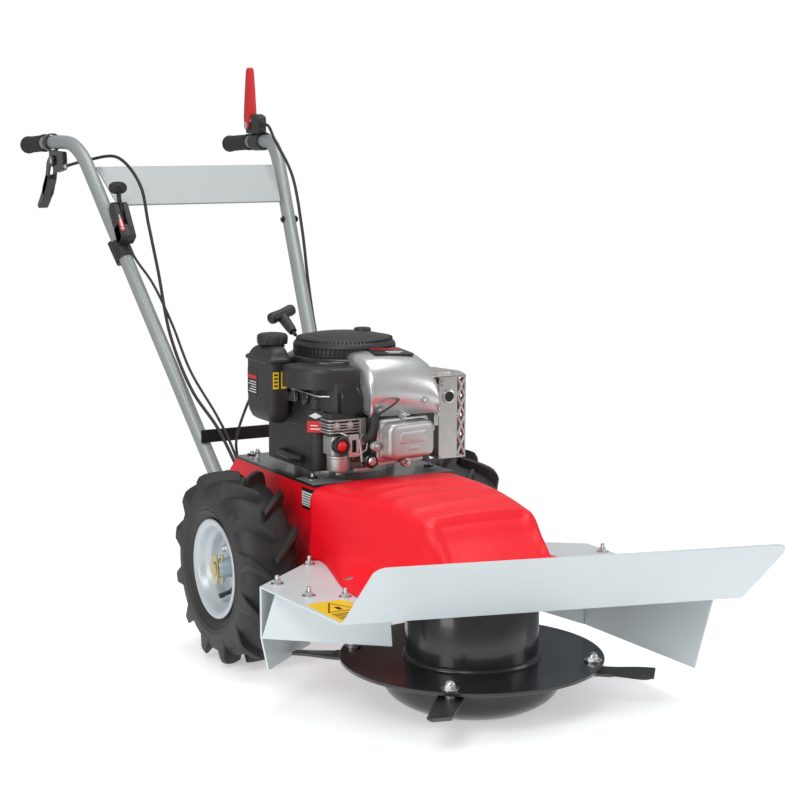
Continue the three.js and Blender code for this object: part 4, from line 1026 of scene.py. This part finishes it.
def recoil_starter():
    """The starter's dome with its ring of vents, and the T grip on its rope."""
    dome = Shape()
    dome.revolve(
        [(86, 517), (90.5, 517), (90.5, 530), (93, 532.5), (92.4, 534.5), (88, 540), (80, 544.5),
         (70, 547.8), (66, 548.6), (65, 548.0), (63, 549.3), (50, 551.2), (40, 552.0), (39, 551.4),
         (37, 552.3), (20, 553), (0, 553), (0, 549), (54, 546), (81, 540), (86, 531)],
        (0, CRANK_Y, 0), segments=128)
    finish(dome, "recoil_dome", PLASTIC, ["recoil_cover"], smooth=35)
    vents = Shape()
    bars = 72
    for i in range(bars):
        place = Matrix.Translation((0, CRANK_Y, 0)) @ Matrix.Rotation(2 * math.pi * i / bars, 4, "Z")
        vents.block((89.8, -1.6, 518), (93, 1.6, 532), place)
        vents.block((80.5, -1.4, 540.0), (87.5, 1.4, 544.4), place)
    for z in (517.2, 524.4):
        vents.revolve(rectangle((90, z), (93, z + 1.8)), (0, CRANK_Y, 0), segments=96, closed=True)
    vents.revolve([(0, 550), (15, 550), (16, 552), (15, 555.5), (12, 556.5), (0, 556.5)], (48, 470, 0),
                  segments=40)
    finish(vents, "recoil_vents", PLASTIC, smooth=35)
    grip = Shape()
    foot, top = Vector((-62, 522, 541)), Vector((-70, 566, 574))
    ahead = (top - foot).normalized()
    grip.tube([foot + ahead * 11, foot + ahead * 20, foot + ahead * 50], lambda t: 7.5 + 3 * t, 24)
    low, high = Vector((-98, 556, 570)), Vector((-42, 576, 584))
    sweep = [low.lerp(high, t) for t in (0, 0.04, 0.12, 0.3, 0.5, 0.7, 0.88, 0.96, 1)]
    sizes = [7.5, 10, 11, 10.2, 9.6, 10.2, 11, 10, 7.5]
    grip.tube(sweep, lambda t: sizes[round(t * 8)], 28)
    finish(grip, "starter_grip_handle", PLASTIC, ["recoil_handle"], body="starter_grip", smooth=50)
    rope = Shape()
    rope.tube([foot + ahead * 2, foot + ahead * 13], 3.4, 16)
    finish(rope, "starter_rope", RUBBER, body="starter_grip")


recoil_starter()


def fuel_system():
    """The tank with its welded seam and labels left blank, and the ribbed cap."""
    rings = []
    for z, inset in ((398, 16), (399.5, 12), (404, 6), (414, 2), (426, 0), (505, 0), (507, -0.5), (509, -3),
                     (513.5, -3), (515.5, -0.5), (517, 2), (522, 4), (528, 8), (532, 14), (534, 22)):
        x0, x1 = -165 + inset, -120.6 - max(inset, 0) * 0.3
        corners = rectangle((x0, 420 + inset), (x1, 520 - inset))
        rings.append([Vector((x, y, z)) for x, y in round_corners(corners, 15)])
    tank = Shape()
    tank.loft(rings)
    tank.revolve([(0, 530), (23, 530), (21, 533), (20, 534.4), (0, 534.4)], (-130, 480, 0), segments=48)
    finish(tank, "tank_shell", PLASTIC, ["fuel_tank"], smooth=40)
    cap = Shape()
    rows = []
    for z, radius in ((534.8, 25), (536, 27), (545, 28), (550, 27.4), (553, 25), (554, 22)):
        row = []
        for k in range(96):
            groove = 1.5 if (k % 12) in (0, 1) and 535 < z < 552 else 0
            t = 2 * math.pi * k / 96
            reach = radius - groove
            row.append(Vector((-130 + reach * math.cos(t), 480 + reach * math.sin(t), z)))
        rows.append(row)
    cap.loft(rows)
    finish(cap, "fuel_cap_shell", PLASTIC, ["fuel_cap"], body="tank_cap", smooth=30)
    tag("tank_label", DECAL_BLACK, (-165.5, 470, 444), (-164.8, 510, 492), slot="black_plastic")
    tag("tank_label_band", DECAL_RED, (-165.9, 473, 474), (-165.4, 507, 480))
    rows = Shape()
    for i in range(5):
        rows.block((-165.9, 474, 449 + 4.6 * i), (-165.4, 506 - 5 * (i % 3), 450.6 + 4.6 * i))
    finish(rows, "tank_label_rules", DECAL_WHITE)
    notes = Shape()
    for x in (-158, -142):
        notes.block((x, 419.4, 462), (x + 11, 420.4, 492))
    finish(notes, "tank_note_plates", DECAL_YELLOW)
    marks = Shape()
    for x in (-156, -140):
        for i in range(4):
            marks.block((x, 419.0, 466 + 6.5 * i), (x + 7, 419.6, 469 + 6.5 * i))
    finish(marks, "tank_note_marks", DECAL_BLACK)


fuel_system()


def air_filter():
    """The air filter's case: stacked grooves down its sides, a latch knob and a blank label."""
    corners = [(-117, 529), (-115, 353), (-104, 345), (-61, 345), (-61, 371), (-97, 409), (-97, 529)]
    outline = round_corners(corners, [6, 14, 10, 6, 5, 8, 5])
    case = Shape()
    rings = []
    middle = Vector((-90, 430))
    heights = [(322, 0.98), (325, 1.0), (376, 1.0)]
    for i in range(12):
        groove = ((378, 1.0), (379.2, 0.988), (381.2, 0.988), (382.4, 1.0))
        heights.extend([(z + 5.6 * i, share) for z, share in groove])
    heights.extend([(450, 1.0), (452, 1.022), (458, 1.022), (460, 1.0), (478, 1.0), (480.4, 0.985)])
    for z, share in heights:
        rings.append([Vector((*(middle + (Vector(p) - middle) * share), z)) for p in outline])
    case.loft(rings)
    finish(case, "air_filter_case", PLASTIC, ["air_filter_box"], smooth=35)
    knob = Shape()
    knob.revolve([(0, 0), (13, 0), (13, 5), (9, 8), (0, 9)], (-117, 372, 452), (-1, -0.1, 0.1), 32)
    knob.tube([(-119, 380, 340), (-124, 420, 338), (-122, 470, 340)], 7, 20)
    finish(knob, "air_filter_knob", GLOSSY, smooth=40)
    place = Matrix(((0.75, 0, -0.66, -110.2), (-0.66, 0, -0.75, 348.5), (0, 1, 0, 410), (0, 0, 0, 1)))
    tag("filter_label_low", DECAL_RED, (-15, -18, -0.2), (15, 2, 0.9), place)
    tag("filter_label_high", DECAL_BLACK, (-15, 2, -0.2), (15, 21, 0.9), place, slot="black_plastic")
    mark = Shape()
    mark.prism([(-12, 11), (0, 6), (12, 11), (0, 17)], (0.8, 1.2), place)
    for i in range(2):
        mark.block((-9, -13 + 6 * i, 0.8), (9 - 5 * i, -11 + 6 * i, 1.2), place)
    finish(mark, "filter_label_marks", DECAL_WHITE)


air_filter()


def carburettor():
    """Carburettor, float bowl with its drain bolt, the black primer seat and the red bulb."""
    body = Shape()
    outline = round_corners(rectangle((-103, 299), (-63, 339)), 7)
    plate(body, outline, 357, 391, 4)
    body.revolve([(0, 326.5), (15, 326.5), (18.5, 328), (20.4, 332), (20.4, 351), (21.4, 352),
                  (21.4, 355.5), (19, 357), (0, 357)],
                 (-84, 312, 0), segments=56)
    body.revolve(rectangle((0, 320), (5.5, 326.5)), (-84, 312, 0), segments=6)
    body.tube([(-70, 321, 370), (-56, 321, 370)], 13.5, 32)
    finish(body, "carburettor_casting", CAST, ["carburettor"], bevel=0.6)
    seat = Shape()
    seat.revolve([(10.7, 0), (14.2, 0), (15.2, 1.2), (15.2, 14), (14, 15.5), (10.7, 15.5)],
                 (-90, 284.2, 375), (0, 1, 0), 48, closed=True)
    finish(seat, "primer_seat", GLOSSY)
    bulb = Shape()
    profile = [(10 * math.sin(t), 6.5 * (1 - math.cos(t))) for t in [math.pi / 2 * k / 10 for k in range(11)]]
    bulb.revolve([*profile, (10, 11), (0, 11)], (-90, 281.2, 375), (0, 1, 0), 40)
    finish(bulb, "primer_bulb_dome", RED_PLASTIC, ["primer_bulb"], body="primer", smooth=60)
    stack = Shape()
    for z, radius in ((396, 34), (401, 36), (406, 33), (411, 36), (417, 34)):
        outline = round_corners([(-112, 296), (-44, 294), (-44, 336), (-112, 340)], 12)
        middle = Vector((-78, 316))
        share = radius / 36
        stack.prism([tuple(middle + (Vector(p) - middle) * share) for p in outline], (z, z + 2.6))
    finish(stack, "intake_gasket_stack", CAST, bevel=0.4)
    dark = Shape()
    dark.prism(round_corners(rectangle((-106, 302), (-50, 334)), 10), (390, 430))
    finish(dark, "intake_elbow", PLASTIC, bevel=1)


carburettor()


def cylinder_head():
    """The rocker cover with its flange, raised blank panel and bolt ears, and details on the crankcase."""
    dress("crankcase", CAST, 0.6)
    place = TURN @ Matrix.Translation((0, -168.4, 381)) @ Matrix.Rotation(math.radians(90), 4, "X")
    cover = Shape()
    rings = []
    stations = ((57, 37, 0, 13), (57.4, 37.4, 1, 13), (57.4, 37.4, 4, 13), (56.4, 36.4, 5, 13),
                (51.5, 33, 5.6, 14), (50.4, 32.2, 8, 15), (50, 31.8, 24, 15), (48.6, 30.6, 29, 15),
                (45.5, 27.8, 32, 14), (41, 23.5, 33, 12))
    for half_x, half_y, depth, corner in stations:
        corners = rectangle((-half_x, -half_y), (half_x, half_y))
        rings.append([place @ Vector((x, y, depth)) for x, y in round_corners(corners, corner, 8)])
    cover.loft(rings)
    finish(cover, "rocker_cover_shell", CAST, ["rocker_cover"], smooth=50)
    panel = Shape()
    outline = round_corners([(-30, -4), (34, -4), (31, 17), (-27, 17)], 6)
    plate(panel, outline, 32.6, 34.4, 1.5, place)
    plate(panel, round_corners(rectangle((-10, -17), (14, -10)), 3), 32.6, 33.8, 1.0, place)
    finish(panel, "rocker_cover_panel", CAST, smooth=50)
    ears = Shape()
    bolts = Shape()
    ahead = place.to_3x3() @ Vector((0, 0, 1))
    for x, y in ((-2, 43), (-61, -8), (6, -43), (60, 12)):
        ears.revolve([(0, 0), (9, 0), (9, 7), (8, 8.5), (0, 8.5)], place @ Vector((x, y, -1)), ahead, 28)
        bolts.hexagon(place @ Vector((x, y, 7.4)), ahead, 5, 4.5)
    finish(ears, "rocker_cover_ears", CAST, bevel=0.8)
    finish(bolts, "rocker_cover_bolts", ZINC, bevel=0.2)
    rows = Shape()
    for i in range(6):
        y = -165 + 15 * i
        for back in (7.6, 11.2):
            rows.block((-49.6, y + back, 339), (49.6, y + back + 1.6, 410), TURN)
    finish(rows, "cylinder_fins", CAST)


cylinder_head()


def shroud():
    """The silver air shroud: a crown that falls towards the rocker cover, with a blank label and screws."""
    stations = [
        (393, (-41, 100), 430, [(100, 500), (94, 514), (80, 524), (30, 529), (-10, 530), (-34, 526),
                                (-41, 514)]),
        (345, (-41, 100), 430, [(100, 496), (93, 512), (78, 521), (30, 527), (-12, 528), (-35, 523),
                                (-41, 511)]),
        (310, (-41, 99), 427, [(99, 486), (93, 502), (78, 512), (34, 520), (-14, 522), (-35, 517),
                               (-41, 505)]),
        (294, (-40, 98), 424, [(98, 474), (92, 488), (77, 498), (34, 509), (-16, 512), (-34, 507),
                               (-40, 494)]),
        (282, (-39, 95), 424, [(95, 462), (89, 473), (75, 481), (34, 492), (-17, 496), (-33, 492),
                               (-39, 480)]),
        (276, (-38, 93), 424, [(93, 450), (87, 458), (73, 464), (34, 474), (-18, 478), (-32, 475),
                               (-38, 464)]),
    ]
    rings = []
    for y, (x0, x1), foot, crown in stations:
        lean = 8 / 140
        points = [(x1, foot), *crown, (x0, foot + 2)]
        smooth = smooth_path([(x, 0, z) for x, z in points], 6)
        rings.append([Vector((p.x, y - (p.x - x0) * lean, p.z)) for p in smooth])
    skin = Shape()
    skin.grid(rings, around=False)
    front = rings[-1]
    shroud_foot = 424
    low = [Vector((p.x, p.y + 1, shroud_foot)) for p in front]
    skin.grid([front, low], around=False)
    finish(skin, "shroud_skin", SHROUD, ["blower_shroud"], smooth=50, wall=3)
    label = Shape()
    corners = round_corners([(-8, -34), (72, -34), (66, 24), (-2, 24)], 7)
    slant = Matrix.Rotation(math.radians(3.0), 4, "Y") @ Matrix.Rotation(math.radians(6.0), 4, "X")
    tilt = Matrix.Translation((0, 350, 530.6)) @ slant
    label.prism(corners, (-3.2, 0.4), tilt)
    finish(label, "shroud_label", DECAL_BLACK, slot="black_plastic", smooth=30)
    tag("shroud_label_band", DECAL_RED, (2, 2, 0.3), (62, 11, 0.8), tilt)
    lines = Shape()
    lines.block((22, -18, 0.3), (56, -13, 0.8), tilt)
    lines.block((22, -27, 0.3), (46, -23.5, 0.8), tilt)
    finish(lines, "shroud_label_rules", DECAL_WHITE)
    screws = Shape()
    screws.hexagon((66, 270.5, 446), (0, -1, 0), 5, 3.4)
    screws.hexagon((101, 350, 470), (1, 0, 0), 5, 3.4)
    screws.hexagon((-20, 273.5, 434), (0, -1, 0), 4, 3)
    finish(screws, "shroud_screws", ZINC, bevel=0.2)


shroud()


def exhaust():
    """The muffler in its guard: a front plate with an outlet, and lattice cut-outs down the outer side."""
    dress("muffler", CAST, 3)
    shell = Shape()
    outline = round_corners(rectangle((108, 294), (164, 400)), 7)
    shell.prism(outline, (479, 482))
    shell.prism(outline, (334, 337))
    front = round_corners(rectangle((108, 336), (146, 480)), 6)
    upright = Matrix(((1, 0, 0, 0), (0, 0, -1, 297), (0, 1, 0, 0), (0, 0, 0, 1)))
    shell.prism(front, (0, 3), upright)
    shell.block((161, 294, 334), (164, 302, 484))
    shell.block((161, 392, 334), (164, 400, 484))
    shell.block((108, 397, 334), (164, 400, 484))
    for i in range(4):
        z = 340 + 35 * i
        for start, end in ((298, 345), (345, 298), (345, 394), (394, 345)):
            shell.tube([(162.5, start, z), (162.5, end, z + 34)], 3.2, 8)
        for start, end in ((147, 162), (162, 147)):
            shell.tube([(start, 295.5, z), (end, 295.5, z + 34)], 2.6, 8)
    finish(shell, "muffler_guard_shell", GUARD_STEEL, ["muffler_guard"], bevel=0.6)
    outlet = Shape()
    outlet.revolve([(9.2, 0), (13, 0), (12.4, 2.2), (9.2, 3)], (128, 294.2, 446), (0, -1, 0), 40, closed=True)
    outlet.hexagon((116, 294, 470), (0, -1, 0), 4.5, 4)
    finish(outlet, "outlet_ring", GUARD_STEEL, bevel=0.3)
    # A flat black disc set in the outlet ring: painted shade for the dark inside the outlet's bore.
    hole = Shape()
    hole.revolve(rectangle((0, 0), (9.4, 0.6)), (128, 293.8, 446), (0, -1, 0), 40)
    finish(hole, "outlet_bore_painted_shade", DECAL_BLACK, slot="black_plastic")
    shield = Shape()
    shield.prism(round_corners([(86, 280), (156, 284), (168, 322), (150, 392), (92, 388)], 8), (484.6, 486.6))
    shield.prism(round_corners([(96, 296), (140, 300), (150, 330), (110, 372)], 8), (486.6, 490))
    finish(shield, "muffler_top_shield", GUARD_STEEL, bevel=0.5)
    bracket = Shape()
    hook = [(96, 440), (118, 440), (118, 470), (96, 470), (96, 462), (108, 462), (108, 448), (96, 448)]
    bracket.prism(round_corners(hook, 2), (-3, 0), upright)
    bracket.hexagon((104, 292, 420), (0, -1, 0), 5, 4)
    bracket.block((97, 292, 396), (106, 297, 450))
    finish(bracket, "exhaust_bracket", ZINC, bevel=0.4)


exhaust()


def linkage():
    """Small parts between the covers: throttle bracket and rod, governor plate, leads and oil filler."""
    zinc = Shape()
    bracket = round_corners([(400, 440), (424, 440), (424, 452), (412, 458), (412, 472), (400, 472)], 3)
    zinc.prism(bracket, (-5, 2), side_plate(-121))
    zinc.tube([(-124, 408, 466), (-125, 380, 462), (-112, 330, 458), (-92, 318, 458)], 1.7, 10)
    zinc.hexagon((-123.5, 406, 466), (-1, 0, 0), 5, 5)
    for x_low, z_low, x_high, z_high in ((-76, 354, -56, 362), (-76, 384, -56, 394), (-76, 362, -70, 384),
                                         (-61, 362, -56, 384)):
        zinc.block((x_low, 288, z_low), (x_high, 290.5, z_high))
    zinc.tube([(-78, 290, 392), (-92, 300, 398), (-86, 330, 406)], 1.4, 8)
    zinc.tube([(-58, 290, 356), (-44, 284, 366), (-40, 282, 392)], 1.4, 8)
    finish(zinc, "carburettor_linkage", ZINC, bevel=0.3)
    bolt = Shape()
    bolt.revolve([(0, 0), (12.5, 0), (12.5, 14), (10.5, 16), (0, 16)], (-37, 292, 346), (0, -1, 0), 36)
    finish(bolt, "oil_filler_boss", GLOSSY, bevel=0.4)
    cap = Shape()
    cap.revolve([(0, 0), (7.5, 0), (7.5, 3), (6, 4.5), (0, 4.5)], (-37, 276.5, 346), (0, -1, 0), 32)
    cap.revolve([(0, 0), (4, 0), (3.6, 3), (0, 3)], (-37, 272, 346), (0, -1, 0), 24)
    finish(cap, "oil_filler_bolt", ZINC)
    boot = Shape()
    route = [(-33, 284, 424), (-32, 276, 418), (-34, 274, 404), (-40, 276, 390), (-46, 286, 384)]
    boot.tube(smooth_path(route, 8), lambda t: 9 - 2 * t, 24)
    finish(boot, "spark_boot", RUBBER, smooth=50)
    lead = Shape()
    lead.tube(smooth_path([(-30, 276, 424), (-16, 266, 436), (0, 264, 446), (14, 272, 452)], 10), 1.9, 12)
    route = [(-126, 546, 442), (-127, 580, 424), (-124, 612, 396), (-121, 650, 352), (-118, 668, 322),
             (-112, 676, 296)]
    lead.tube(smooth_path(route, 12), 2.6, 12)
    finish(lead, "engine_leads", RUBBER)
    castings = Shape()
    castings.block((-52, 292, 372), (-40, 300, 420))
    castings.block((-62, 296, 326), (-30, 310, 332))
    castings.tube([(-50, 288, 344), (-54, 290, 384)], 3, 14)
    castings.revolve(rectangle((0, 0), (8, 12)), (-46, 300, 384), (0, -1, 0), 24)
    for x in (-96, -70):
        castings.hexagon((x, 296, 409), (0, -1, 0), 4.5, 4)
    finish(castings, "engine_castings", CAST, bevel=0.6)


linkage()
